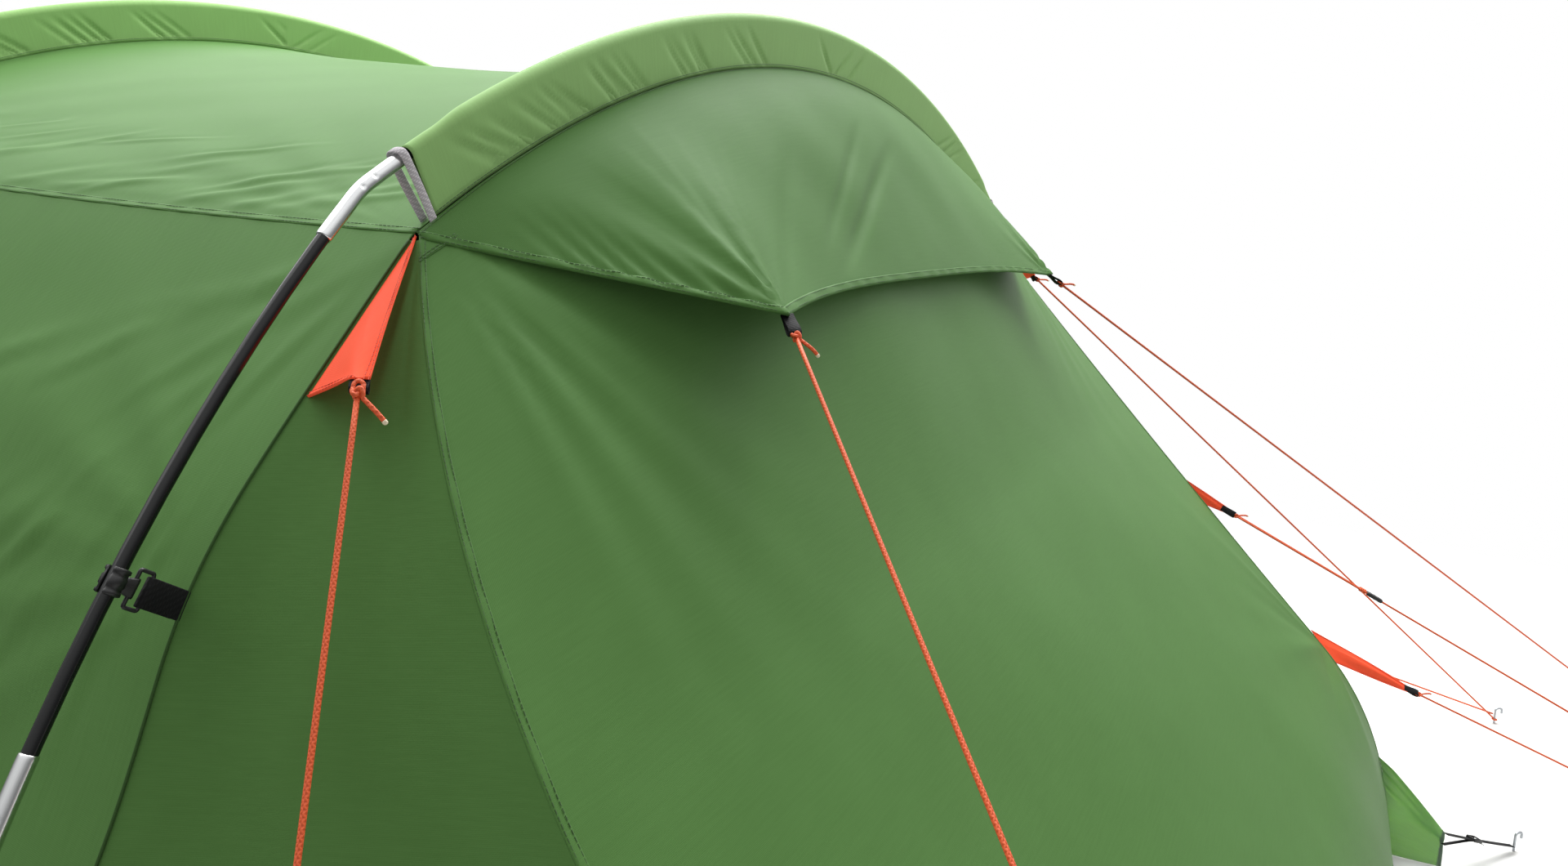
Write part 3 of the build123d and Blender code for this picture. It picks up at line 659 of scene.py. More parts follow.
@dataclass(frozen=True)
class CoatedCloth(Finish):
    """Plain-woven polyester with a soft waterproof coating."""

    roughness: float = 0.52
    thread: float = 0.0014
    slub: float = 0.0035
    painted_glow: float = 0.0
    through: float = 0.0

    def dress(self, tree: Tree, shader: Node) -> None:
        """An even colour, faint weft streaks, a fine weave, a dull coated sheen and, where set, a
        painted glow.

        Args:
            tree: The material's tree.
            shader: Its shader.
        """
        spot = add(tree, "ShaderNodeTexCoord", {}).outputs["UV"]
        # Weft threads of slightly different thickness give long faint streaks across the cloth.
        drawn = {"Vector": spot, "Scale": (1 / (self.slub * 16), 1 / self.slub, 1)}
        streak = add(tree, "ShaderNodeMapping", drawn).outputs[0]
        grain = {"Vector": streak, "Scale": 1.0, "Detail": 3.0}
        weft = add(tree, "ShaderNodeTexNoise", grain).outputs["Fac"]
        # Coating and dye vary a little over a hand's breadth.
        blotch = {"Vector": spot, "Scale": 7.0, "Detail": 2.0}
        cloud = add(tree, "ShaderNodeTexNoise", blotch).outputs["Fac"]
        blend = add(tree, "ShaderNodeMath", {0: weft, 1: cloud}, operation="ADD").outputs[0]
        share = add(tree, "ShaderNodeMapRange", {0: blend, 1: 0.72, 2: 1.28, 3: 0.0, 4: 1.0})
        # The real threads are 0.3 mm apart; they are drawn coarser so that a close view shows them.
        bands = {"Vector": spot, "Scale": band_scale(self.thread)}
        warp, pick = (
            add(tree, "ShaderNodeTexWave", bands, bands_direction=way).outputs["Fac"]
            for way in ("X", "Y")
        )
        weave = add(tree, "ShaderNodeMath", {0: warp, 1: pick}, operation="MULTIPLY").outputs[0]
        relief = add(tree, "ShaderNodeMath", {0: weft, 1: weave}, operation="ADD").outputs[0]
        self.surface(tree, shader, share.outputs[0], (relief, 0.16, 0.0006))
        feed(
            tree,
            shader,
            {
                "Roughness": self.roughness,
                "IOR": 1.45,
                "Specular IOR Level": 0.07,
                # A painted glow: emission in the cloth's own colour, set only for the orange
                # patches.
                "Emission Color": linear(self.colour),
                "Emission Strength": self.painted_glow,
                "Subsurface Weight": self.through,
                "Subsurface Radius": (0.006, 0.009, 0.004),
                "Subsurface Scale": 1.0,
                "Sheen Weight": 0.03,
                "Sheen Roughness": 0.45,
            },
        )


@dataclass(frozen=True)
class Webbing(Finish):
    """Narrow woven polypropylene tape."""

    rib: float = 0.0022

    def dress(self, tree: Tree, shader: Node) -> None:
        """Dull, with ribs across it and a herringbone of light and dark yarn.

        Args:
            tree: The material's tree.
            shader: Its shader.
        """
        spot = add(tree, "ShaderNodeTexCoord", {}).outputs["UV"]
        across, slant = (
            add(
                tree,
                "ShaderNodeTexWave",
                {"Vector": spot, "Scale": band_scale(period)},
                bands_direction=way,
            ).outputs["Fac"]
            for period, way in ((self.rib, "Y"), (self.rib * 1.4, "DIAGONAL"))
        )
        yarn = add(tree, "ShaderNodeMath", {0: across, 1: slant}, operation="MULTIPLY").outputs[0]
        self.surface(tree, shader, yarn, (yarn, 0.5, 0.0006))
        feed(tree, shader, {"Roughness": 0.75, "Specular IOR Level": 0.2})


@dataclass(frozen=True)
class BraidedCord(Finish):
    """Braided polyester guy line."""

    pitch: float = 0.004
    slant: float = 0.85

    def dress(self, tree: Tree, shader: Node) -> None:
        """Bright, with the slanting strands of its braid.

        Args:
            tree: The material's tree.
            shader: Its shader.
        """
        spot = add(tree, "ShaderNodeTexCoord", {}).outputs["UV"]
        strands = []
        for slant in (self.slant, -self.slant):
            turned = add(tree, "ShaderNodeMapping", {"Vector": spot, "Rotation": (0, 0, slant)})
            bands = {"Vector": turned.outputs[0], "Scale": band_scale(self.pitch)}
            strand = add(tree, "ShaderNodeTexWave", bands, bands_direction="X")
            strands.append(strand.outputs["Fac"])
        crossed = dict(enumerate(strands))
        braid = add(tree, "ShaderNodeMath", crossed, operation="MAXIMUM").outputs[0]
        self.surface(tree, shader, braid, (braid, 0.6, 0.0008))
        feed(tree, shader, {"Roughness": 0.6})


@dataclass(frozen=True)
class Hard(Finish):
    """A moulded, drawn or plated surface with fine marks on it."""

    roughness: float
    metallic: float = 0.0
    mark: float = 0.002
    stretch: tuple = (1.0, 1.0, 1.0)
    relief: float = 0.1
    follows: str = "Object"
    specular: float = 0.5

    def dress(self, tree: Tree, shader: Node) -> None:
        """Two close tones and a roughness that follow marks of a given size.

        Args:
            tree: The material's tree.
            shader: Its shader.
        """
        spot = add(tree, "ShaderNodeTexCoord", {}).outputs[self.follows]
        scale = tuple(s / self.mark for s in self.stretch)
        place = add(tree, "ShaderNodeMapping", {"Vector": spot, "Scale": scale}).outputs[0]
        grain = {"Vector": place, "Scale": 1.0, "Detail": 4.0}
        marks = add(tree, "ShaderNodeTexNoise", grain).outputs["Fac"]
        spread = {0: marks, 1: 0.3, 2: 0.7, 3: self.roughness * 0.8, 4: self.roughness * 1.2}
        rough = add(tree, "ShaderNodeMapRange", spread).outputs[0]
        self.surface(tree, shader, marks, (marks, self.relief, 0.0004))
        shine = {"Metallic": self.metallic, "Specular IOR Level": self.specular}
        feed(tree, shader, {"Roughness": rough, **shine})


def made_of(finish: Finish) -> Material:
    """A field that holds a finish's material, made with its owner."""
    return field(default_factory=finish.material)


@dataclass
class Finishes:
    """Every finish on the tent, made once."""

    cloth: Material = made_of(CoatedCloth("coated_polyester_green", "#547C41", "#50773D"))
    # A single layer with light behind it, which shines through.
    fin: Material = made_of(
        CoatedCloth("coated_polyester_green_single", "#708571", "#6A7E6A", through=0.72)
    )
    sleeve: Material = made_of(CoatedCloth("sleeve_polyester_light_green", "#93BD76", "#8EB671"))
    # A painted glow: a small emission in the patch's own colour makes the orange brighter than its
    # light alone makes it.
    patch: Material = made_of(
        CoatedCloth("coated_polyester_orange", "#F65B3A", "#EE5234", painted_glow=0.14)
    )
    # A bias-cut edging a shade darker than the panels, which draws the seam as a line; its darkness
    # is partly the seam's dark thread and partly painted shade where the side panel overlaps the
    # wing.
    edging_and_shade: Material = made_of(CoatedCloth("edging_dark_green", "#3C5A30", "#38542C"))
    # Grey tape with a soft silvery yarn.
    grey_web: Material = made_of(Webbing("grey_webbing", "#D6D2D5", "#ABA6AA"))
    # Black tape, dull and deep.
    black_web: Material = made_of(Webbing("black_webbing", "#1B1B1C", "#0C0C0D"))
    cord: Material = made_of(BraidedCord("braided_guy_line", "#E4602F", "#C94C20"))
    # Pulled glass fibre under clear resin: black with a long soft highlight.
    rod: Material = made_of(
        Hard(
            "pulled_glass_fibre", "#17191A", "#0F1011", 0.17,
            mark=0.003, stretch=(1, 1, 0.2), relief=0.0, specular=0.34,
        )
    )
    # Drawn aluminium tube: bright, with faint lines along the draw.
    ferrule: Material = made_of(
        Hard(
            "drawn_aluminium", "#E4E5E5", "#D0D2D3", 0.2, metallic=1.0,
            mark=0.0009, stretch=(1, 0.03, 1), relief=0.04, follows="UV",
        )
    )
    # Zinc-plated steel wire: grey, slightly cloudy.
    steel: Material = made_of(
        Hard("zinc_plated_steel", "#B9BCC0", "#8F9398", 0.38, metallic=1.0, mark=0.004)
    )
    # Moulded acetal: black with a fine grain.
    plastic: Material = made_of(
        Hard("moulded_black_plastic", "#1A1A1B", "#101011", 0.42, mark=0.0012, relief=0.12)
    )
    # A cut line melted shut goes pale and glassy.
    sealed_end: Material = made_of(Hard("melted_cord_end", "#F1E4C8", "#E2D0AC", 0.35))
    # Sewing thread, a shade darker than the cloth.
    thread: Material = made_of(Hard("sewing_thread_green", "#456537", "#3D5A30", 0.7, mark=0.0008))
    # Orange thread on the patches.
    patch_thread: Material = made_of(
        Hard("sewing_thread_orange", "#D84E2E", "#C84528", 0.7, mark=0.0008)
    )
    # Woven polyethylene floor sheet with a dull grey film.
    groundsheet: Material = made_of(
        CoatedCloth("woven_floor_sheet", "#5A5F63", "#51565A", 0.6, 0.003, 0.006)
    )
    # Nylon zip coil, dark and slightly shiny.
    coil: Material = made_of(Hard("nylon_zip_coil", "#22261F", "#171A15", 0.45))
    # Braided elastic inside the poles.
    elastic: Material = made_of(Hard("braided_elastic", "#3A3A3C", "#262628", 0.7, mark=0.001))


# The sewn form
@dataclass(frozen=True)
class Arc:
    """A circular arc in a plane of constant Y, its angle measured from +Z towards +X."""

    x: float
    y: float
    z: float
    radius: float

    def at(self, angle: Array, inset: Array = 0.0) -> Array:
        """Points at given angles.

        Args:
            angle: The angles.
            inset: How far inside the arc the points lie.

        Returns:
            The points.
        """
        reach = self.radius - np.asarray(inset)
        angle = np.asarray(angle, float)
        flat = [self.x + reach * np.sin(angle), self.y + 0 * angle, self.z + reach * np.cos(angle)]
        return np.stack(flat, -1)

    def angle_at(self, height: Array, inset: Array = 0.0) -> Array:
        """The angle at which the arc, set in by inset, has a height."""
        rise = np.asarray(height) - self.z
        return np.arctan2(np.sqrt((self.radius - np.asarray(inset)) ** 2 - rise**2), rise)


@dataclass
class Arch:
    """A pole arch: a roof arc, a leg arc each side and the shoulder of the cloth inside it."""

    y: float
    peak: float
    roof_radius: float
    bend_half: float = 1.032
    foot_half: float = 1.676
    foot_z: float = 0.0044
    leg_sagitta: float = 0.170
    sleeve_depth: float = 0.067
    leg_gap: float = 0.072
    sleeve_half: float = 0.973

    def __post_init__(self) -> None:
        """Works out the arcs from the arch's sizes."""
        self.roof = Arc(0.0, self.y, self.peak - self.roof_radius, self.roof_radius)
        self.bend_angle = math.asin(self.bend_half / self.roof_radius)
        bend = self.roof.at(self.bend_angle)
        foot = np.array([self.foot_half, self.y, self.foot_z])
        chord = np.linalg.norm(foot - bend)
        radius = chord**2 / (8 * self.leg_sagitta) + self.leg_sagitta / 2
        out = np.array([bend[2] - foot[2], 0, foot[0] - bend[0]]) / chord
        centre = (bend + foot) / 2 - out * (radius - self.leg_sagitta)
        self.leg = Arc(centre[0], self.y, centre[2], radius)
        self.leg_start = math.atan2(bend[0] - centre[0], bend[2] - centre[2])
        self.leg_end = math.atan2(foot[0] - centre[0], foot[2] - centre[2])
        heights = np.linspace(self.peak - 0.5, bend[2], 4001)
        legs = self.leg.at(self.leg.angle_at(heights, self.leg_gap), self.leg_gap)
        above = np.hypot(legs[:, 0], legs[:, 2] - self.roof.z)
        under = above - (self.roof_radius - self.sleeve_depth)
        self.shoulder = legs[np.argmin(np.abs(under))]
        self.shoulder_angle = math.atan2(self.shoulder[0], self.shoulder[2] - self.roof.z)

    def roof_line(self, share: Array, depth: float | None = None, dy: float = 0.0) -> Array:
        """The cloth under the roof rods; share runs from -1 to 1 between the shoulders."""
        depth = self.sleeve_depth if depth is None else depth
        return self.roof.at(np.asarray(share) * self.shoulder_angle, depth) + np.array([0, dy, 0])

    def leg_line(self, heights: Array, gap: Array | None = None) -> Array:
        """The cloth inside the right leg, at given heights."""
        gap = self.leg_gap if gap is None else gap
        return self.leg.at(self.leg.angle_at(heights, gap), gap)


@dataclass
class Form:
    """The tent's sewn form: its arches, and the seams that its panels share."""

    rear: Arch = field(default_factory=lambda: Arch(0.0, 1.800, 1.980))
    front: Arch = field(default_factory=lambda: Arch(1.385, 1.948, 1.850))
    seam_middle: tuple = (1.198, -0.450, 0.876)
    seam_knee: tuple = (1.116, -0.866, 0.440)
    seam_hip: tuple = (1.030, -1.012, 0.200)
    seam_foot: tuple = (0.960, -1.030, 0.0)
    hood_tip: tuple = (0.641, -0.247, 1.372)
    front_reach: float = 0.950
    front_base_half: float = 0.930
    header_step: float = 0.026
    header_drop: float = 0.024
    seam_sag: float = 0.012

    def __post_init__(self) -> None:
        """Works out the corner seam and the front wall's slope."""
        top = self.rear.shoulder - np.array([0.0015, 0.006, 0.0015])
        knee = np.array(self.seam_knee)
        self.upper_seam = arc_through(top, self.seam_middle, knee, 80)
        lower = arc_through(knee, self.seam_hip, self.seam_foot, 30)
        self.corner = np.concatenate([self.upper_seam, lower[1:]])
        self.wall_foot = np.array([0.0, self.front.y + self.front_reach, 0.0])
        rise = self.front.shoulder[2] - self.header_drop
        head = np.array([0.0, self.front.y + self.header_step, rise])
        self.slope_length = float(np.linalg.norm(head - self.wall_foot))
        self.slope_up = unit(head - self.wall_foot)
        self.wall_out = np.cross(np.array([-1.0, 0, 0]), self.slope_up)

    def on_wall(self, x: Array, up: Array, out: Array = 0.0) -> Array:
        """Points on the front wall.

        Args:
            x: How far across they are, to the right of somebody in front of the door.
            up: How far up the slope.
            out: How far out from it.

        Returns:
            The points.
        """
        x, up, out = np.broadcast_arrays(np.asarray(x, float), up, out)
        across = np.array([-1.0, 0.0, 0.0])
        flat = x[..., None] * across + up[..., None] * self.slope_up
        return self.wall_foot + (flat + out[..., None] * self.wall_out)

    def body_edge(self, heights: Array, side: int) -> Array:
        """The seam between a side panel and a rear wing, drawn out to the pole at each strap.

        Args:
            heights: The heights of the points that are wanted.
            side: 1 for the right, -1 for the left.

        Returns:
            The points.
        """
        gaps = [0.074, 0.084, 0.082, 0.060, 0.080, 0.086, 0.083, 0.058, 0.0705, 0.074, 0.072]
        at = [0.0, 0.35, 0.60, 0.75, 0.88, 0.97, 1.05, 1.19, 1.328, 1.40, 1.465]
        curve = smooth_line(np.stack([at, gaps, np.zeros(len(at))], -1), 400)
        gap = np.interp(heights, curve[:, 0], curve[:, 1])
        return side_of(self.rear.leg_line(heights, gap), side)

    def corner_at(self, heights: Array, side: int) -> Array:
        """The corner seam between a rear wing and the rear wall.

        Args:
            heights: The heights of the points that are wanted.
            side: 1 for the right, -1 for the left.

        Returns:
            The points.
        """
        path = self.corner[::-1]
        flat = [np.interp(heights, path[:, 2], path[:, k]) for k in range(3)]
        return side_of(np.stack(flat, -1), side)

    def side_seam(self, share: Array, side: int) -> Array:
        """The seam between the roof and a side, which sags a little between the arches.

        Args:
            share: How far from the rear arch to the front one the points are.
            side: 1 for the right, -1 for the left.

        Returns:
            The points.
        """
        line = mix(self.rear.shoulder, self.front.shoulder, share)
        line[..., 2] -= self.seam_sag * 4 * share * (1 - share)
        return side_of(line, side)


def inset_line(
    grid: Array, edge: Edge, inset: float, lift: Array | float, inside: Array
) -> Array:
    """A line on a panel at a distance from one of its edges.

    Args:
        grid: The panel's points.
        edge: Which edge.
        inset: The distance in from the edge.
        lift: How far above the cloth the line lies.
        inside: A point behind the cloth.

    Returns:
        The points of the line.
    """
    turned = {
        Edge.TOP: grid.transpose(1, 0, 2),
        Edge.FOOT: grid[::-1].transpose(1, 0, 2),
        Edge.LEFT: grid,
        Edge.RIGHT: grid[:, ::-1],
    }[edge]
    steps = np.linalg.norm(np.diff(turned, axis=1), axis=2)
    run = np.concatenate([np.zeros((len(turned), 1)), np.cumsum(steps, axis=1)], axis=1)
    both = np.concatenate([turned, outward(turned, inside)], axis=2)
    line = np.array(
        [[np.interp(inset, r, b[:, k]) for k in range(6)] for r, b in zip(run, both)]
    )
    rise = np.broadcast_to(np.asarray(lift, float), len(line))[:, None]
    return line[:, :3] + unit(line[:, 3:]) * rise


@dataclass(frozen=True)
class Repeat:
    """A small shape laid at even steps along lines by a node tree."""

    name: str
    shape: str
    counts: dict
    sizes: dict
    scale: tuple = (1.0, 1.0, 1.0)
    upright: bool = False

    def tree(self, material: Material) -> tuple[Tree, dict]:
        """The node tree.

        Args:
            material: What the shapes are made of.

        Returns:
            The tree, and for each size the identifier of its input.
        """
        tree = bpy.data.node_groups.new(self.name, "GeometryNodeTree")
        face = tree.interface
        face.new_socket("Geometry", in_out="INPUT", socket_type="NodeSocketGeometry")
        names = {
            size: face.new_socket(size, in_out="INPUT", socket_type="NodeSocketFloat").identifier
            for size in self.sizes
        }
        face.new_socket("Geometry", in_out="OUTPUT", socket_type="NodeSocketGeometry")
        given = add(tree, "NodeGroupInput", {}).outputs
        line = add(tree, "GeometryNodeMeshToCurve", {"Mesh": given["Geometry"]})
        steps = {"Curve": line.outputs[0], "Length": given["Pitch"]}
        spots = add(tree, "GeometryNodeCurveToPoints", steps, mode="LENGTH").outputs
        sizes = {size: given[size] for size in self.sizes if size != "Pitch"}
        one = add(tree, self.shape, {**self.counts, **sizes}).outputs["Mesh"]
        turn = spots["Rotation"]
        if self.upright:
            way = {"Vector": spots["Tangent"]}
            turn = add(tree, "FunctionNodeAlignRotationToVector", way, axis="Z").outputs[0]
        where = {"Points": spots["Points"], "Rotation": turn, "Scale": self.scale}
        laid = add(tree, "GeometryNodeInstanceOnPoints", {"Instance": one, **where}).outputs[0]
        real = add(tree, "GeometryNodeRealizeInstances", {"Geometry": laid}).outputs[0]
        finish = {"Geometry": real, "Material": material}
        dressed = add(tree, "GeometryNodeSetMaterial", finish).outputs[0]
        add(tree, "NodeGroupOutput", {"Geometry": dressed})
        return tree, names

    def lay(self, name: str, rows: list[Array], material: Material) -> Object:
        """Lays the shape along lines.

        Args:
            name: The name of the piece.
            rows: The points of each line.
            material: What the shapes are made of.

        Returns:
            One piece with all of them.
        """
        verts = np.concatenate(rows)
        ends = np.cumsum([len(r) for r in rows])
        edges = [(k, k + 1) for k in range(len(verts) - 1) if k + 1 not in ends]
        mesh = bpy.data.meshes.new(self.name)
        mesh.from_pydata(verts.tolist(), edges, [])
        holder = linked(self.name, mesh)
        laying = holder.modifiers.new(self.name, "NODES")
        laying.node_group, names = self.tree(material)
        for size, value in self.sizes.items():
            laying[names[size]] = value
        return linked(name, baked(holder))


@dataclass
class Stitching:
    """Rows of stitches, gathered from every seam and sewn in one go for each body."""

    pitch: float = 0.0058
    stitch: float = 0.0042
    thread: float = 0.0009
    kind: str = "stitches"
    slot: Slot = Slot.CLOTH
    rows: dict = field(default_factory=dict)

    def row(self, line: Array, body: str = "tent") -> None:
        """Keeps a line of stitches for a body."""
        self.rows.setdefault(body, []).append(np.asarray(line))

    def build(self, material: Material) -> None:
        """Sews every row, as one piece for each body.

        Args:
            material: The thread.
        """
        sizes = {"Pitch": self.pitch, "Radius": self.thread / 2, "Depth": self.stitch}
        bars = Repeat("stitch_rows", "GeometryNodeMeshCylinder", {"Vertices": 5}, sizes)
        for body, rows in self.rows.items():
            piece = bars.lay(f"{body}_{self.kind}", rows, material)
            place_piece(piece, material, body=body)


@dataclass
class Panel:
    """One sewn panel of cloth: a grid of points, seam bands on its edges and stitch rows."""

    name: str
    grid: Array
    node: str
    material: Material
    slot: Slot = Slot.CLOTH
    inside: tuple = (0.0, 0.6, 0.6)
    thickness: float = 0.0012
    body: str = "tent"
    held: str = "stretched"
    rests_on: tuple = ("rear_roof_rods",)
    bands: list = field(default_factory=list)
    surface: Grid | None = None

    def displaced(self, height: Array) -> None:
        """Moves the cloth out by a height at each point."""
        self.grid = self.grid + outward(self.grid, self.inside) * height[..., None]

    def seam(self, edge: Edge, width: float, sewing: Stitching, height: float = 0.0009) -> None:
        """Lays a folded seam along an edge, with two rows of stitches and small puckers.

        Args:
            edge: Which edge.
            width: The seam's width.
            sewing: Where its stitch rows go.
            height: How far it stands above the cloth.
        """
        run = lengths(inset_line(self.grid, edge, 0.0, 0.0, self.inside))
        pucker = 1 + 0.5 * np.sin(run / 0.0105 + 1.7 * np.sin(run / 0.061))
        # Shares of the seam's width and of its height.
        steps = ((0.0, 0.0), (0.0, 1.0), (0.25, 1.3), (0.75, 1.1), (0.96, 0.8), (1.0, 0.0))
        lines = [
            inset_line(self.grid, edge, width * a, height * b * pucker, self.inside)
            for a, b in steps
        ]
        self.bands.append(Grid(np.stack(lines, 1)))
        for share in (0.2, 0.82):
            row = inset_line(self.grid, edge, width * share, height * 1.35, self.inside)
            sewing.row(row, self.body)

    def build(self) -> None:
        """Makes the panel as a thickened sheet, with its finish and its body."""
        surface = self.surface or Grid(crisp_edges(self.grid))
        piece = make(self.name, [surface, *self.bands], self.inside)
        wall = piece.modifiers.new("cloth", "SOLIDIFY")
        wall.thickness = self.thickness
        wall.offset = -1.0
        place_piece(piece, self.material, (self.node,), self.body)
        grid, held, rests_on = self.grid, self.held, self.rests_on
        cols = max(lengths(c)[-1] for c in grid.transpose(1, 0, 2))


@dataclass
class Fly:
    """The green outer tent: roof, sides, rear end, vent hood and front end."""

    form: Form
    finish: Finishes
    sewing: Stitching
    seam_width: float = 0.011
    hem_width: float = 0.013
    doorway_gap: float = 0.0032
    roof_sag: float = 0.018
    side_draw: float = 0.028
    side_length: float = 1.55
    edge_top: float = 1.462
    strap_heights: tuple = (1.19, 0.75)
    wall_swell: float = 0.030
    hem_rise: float = 0.020
    hem_draw: float = 0.050
    hood_belly: float = 0.048
    ripple_length: float = 0.031
    pocket: float = 0.0110
    fin_heights: tuple = (0.225, 0.086)
    fin_reach: float = -1.155
    fin_half: float = 0.962

    def roof(self) -> None:
        """The roof between the arches, which sags and is drawn towards the shoulders."""
        form = self.form
        t = np.linspace(0, 1, 150)[:, None]
        rim = np.linspace(0.80, 1, 64)
        a = np.concatenate([-rim[::-1], np.linspace(-0.80, 0.80, 80)[1:-1], rim])[None, :]
        grid = mix(form.rear.roof_line(a[0])[None], form.front.roof_line(a[0])[None], t)
        dip = 4 * t * (1 - t)
        grid[..., 2] -= dip * (form.seam_sag + self.roof_sag * (1 - a**2))
        rods = ("rear_roof_rods", "front_roof_rods")
        panel = Panel("roof_cloth", grid, "roof_panel", self.finish.cloth, rests_on=rods)
        folds = 0.0022 * waves(grid * np.array([3.0, 0.5, 3.0]), 0.42, 3) * dip
        pull = ((6, 4, 0.004), (15, 5, 0.005), (27, 6, 0.004), (41, 7, 0.003))
        for side in SIDES:
            pulled = (form.rear, (0, 1, 0.05), side, 0.34), (form.front, (0, -1, 0.0), -side, 0.30)
            for arch, axis, turn, reach in pulled:
                apex, out = side_of(arch.shoulder, side), (side * 0.4, 0, 0.9)
                folds = folds + fan(grid, apex, axis, out, mirrored(pull, turn), reach) * dip**0.5
        rng = np.random.default_rng(19)
        run = grid[..., 1] + 0 * a
        sizes = (0.05, 0.11), (0.006, 0.012), (0.0012, 0.0028)
        for side in SIDES:
            off = (1 - side * a) * form.rear.shoulder_angle * form.rear.roof_radius + 0 * t
            # Short wrinkles slant up from the seam, where the roof is pulled between the arches.
            for middle in np.linspace(0.08, 1.30, 24):
                lean = math.radians(rng.uniform(12, 34))
                x = run - middle - rng.uniform(-0.03, 0.03)
                y = off - rng.uniform(0.025, 0.17)
                folds = folds + wrinkle(x, y, -lean, rng, *sizes)
        panel.displaced(folds * ease(1 - np.abs(a), 0.0, 0.03))
        for edge in (Edge.LEFT, Edge.RIGHT):
            panel.seam(edge, self.seam_width, self.sewing)
        panel.build()

    def side(self, side: int) -> None:
        """A side wall from the roof seam to the ground.

        Args:
            side: 1 for the right, -1 for the left.
        """
        form = self.form
        t = np.concatenate([np.linspace(0, 0.42, 84)[:-1], np.linspace(0.42, 1, 52)])[:, None]
        s = np.linspace(0, 1, 150)
        rear = form.body_edge(form.rear.shoulder[2] * (1 - s), 1)[None]
        ahead = form.front.leg_line(form.front.shoulder[2] * (1 - s))[None]
        grid = mix(rear, ahead, t)
        grid[:, 0] = form.side_seam(t[:, 0], 1)
        dip = 4 * t * (1 - t)
        grid[..., 0] -= dip * self.side_draw * np.sin(math.pi * s) ** 0.8
        grid[..., 2] -= dip * form.seam_sag * (1 - s) ** 3 * (s > 0)
        grid = side_of(grid, side)
        name = SIDES[side]
        panel = Panel(f"side_cloth_{name}", grid, f"side_panel_{name}", self.finish.cloth)
        fade = np.minimum(1, 6 * t) * np.minimum(1, 6 * (1 - t)) * np.minimum(1, 8 * s)
        folds = 0.0026 * waves(grid * np.array([1.0, 1.0, 2.2]), 0.5, 11) * fade
        axis, out = (0, 1, 0), (side * 0.9, 0, 0.4)
        pull = ((-10, 3, 0.004), (-18, 3, -0.003), (-27, 4, 0.006), (-37, 4, -0.004))
        pull += ((-48, 5, 0.007), (-61, 5, -0.004), (-71, 5, 0.005))
        apex = side_of(form.rear.shoulder, side)
        folds = folds + fan(grid, apex, axis, out, mirrored(pull, -side), 0.40) * fade**0.4
        ahead, down = t * form.front.y + 0 * s, s[None] * self.side_length + 0 * t
        folds = folds + self.crinkles(ahead, down, 53 + side)
        pull = ((-38, 5, 0.003), (-20, 5, 0.0035), (-4, 4, 0.0025), (14, 5, 0.0035), (33, 6, 0.003))
        for height in self.strap_heights:
            strap = form.body_edge(np.array([height]), side)[0]
            folds = folds + fan(grid, strap, axis, out, pull, 0.16) * fade**0.4
        panel.displaced(folds)
        panel.seam(Edge.RIGHT, self.hem_width * 1.4, self.sewing)
        panel.build()

    @staticmethod
    def crinkles(ahead: Array, down: Array, seed: int) -> Array:
        """Fine creases from packing and pulling, which point at a side wall's upper rear corner.

        Args:
            ahead: How far each point is in front of the corner.
            down: How far each point is below the corner.
            seed: Which creases to give.

        Returns:
            The height of the creases at each point.
        """
        rng = np.random.default_rng(seed)
        height = np.zeros(ahead.shape)
        for _ in range(34):
            angle = math.radians(rng.uniform(16, 78))
            reach = rng.uniform(0.10, 0.80)
            x, y = ahead - reach * math.cos(angle), down - reach * math.sin(angle)
            lean = angle + math.radians(rng.uniform(-8, 8))
            sizes = (0.03, 0.09), (0.007, 0.013), (0.0010, 0.0022)
            height = height + wrinkle(x, y, lean, rng, *sizes)
        return height

    def wing(self, side: int) -> None:
        """A rear wing between the arch's leg and the corner seam.

        Args:
            side: 1 for the right, -1 for the left.
        """
        form = self.form
        high = np.linspace(self.edge_top, 1.30, 26)
        z = np.concatenate([high[:-1], np.linspace(high[-1], 0.0, 110)])
        t = np.linspace(0, 1, 90)[None, :]
        edge = form.body_edge(z, side)[:, None] + np.array([0, -0.001, 0])
        seam = form.corner_at(z, side)[:, None]
        grid = mix(edge, seam, t)
        name = SIDES[side]
        panel = Panel(f"rear_wing_cloth_{name}", grid, f"rear_wing_{name}", self.finish.cloth)
        panel.inside = (0.0, 0.3, 0.6)
        span = np.linalg.norm(seam - edge, axis=-1)
        bow = 4 * t * (1 - t)
        fade = np.minimum(1, bow * 1.5)
        swell = 0.0032 * waves(grid * np.array([1.6, 1.6, 0.7]), 0.34, 23)
        folds = -0.018 * span * bow + swell * fade * ease(span, 0.05, 0.3)
        out = (side * 0.8, -0.5, 0.2)
        pull = ((-9, 3, 0.002), (-1, 3, -0.0015), (8, 3.5, 0.002), (16, 4, -0.0015))
        top, axis = form.corner_at(np.array([1.455]), side)[0], (side * 0.22, -0.2, -0.95)
        folds = folds + fan(grid, top, axis, out, pull, 0.30) * fade
        pull = ((25, 7, 0.006), (45, 8, -0.004), (62, 8, 0.005))
        knee = side_of(form.seam_knee, side)
        folds = folds + fan(grid, knee, (0, 1, 0), out, mirrored(pull, side), 0.28) * fade
        panel.displaced(folds)
        panel.build()

    def edging(self, side: int) -> None:
        """The dark edging sewn into the seam between a side and a rear wing; its darkness is partly
        dark thread and partly painted shade of the overlap.

        Args:
            side: 1 for the right, -1 for the left.
        """
        path = self.form.body_edge(np.linspace(self.edge_top, 0.003, 160), side)
        path = path + np.array([side * 0.0008, -0.0012, 0.0004])
        piece = make(f"side_edging_{SIDES[side]}", [tube(path, 0.0013, 8)])
        place_piece(piece, self.finish.edging_and_shade)

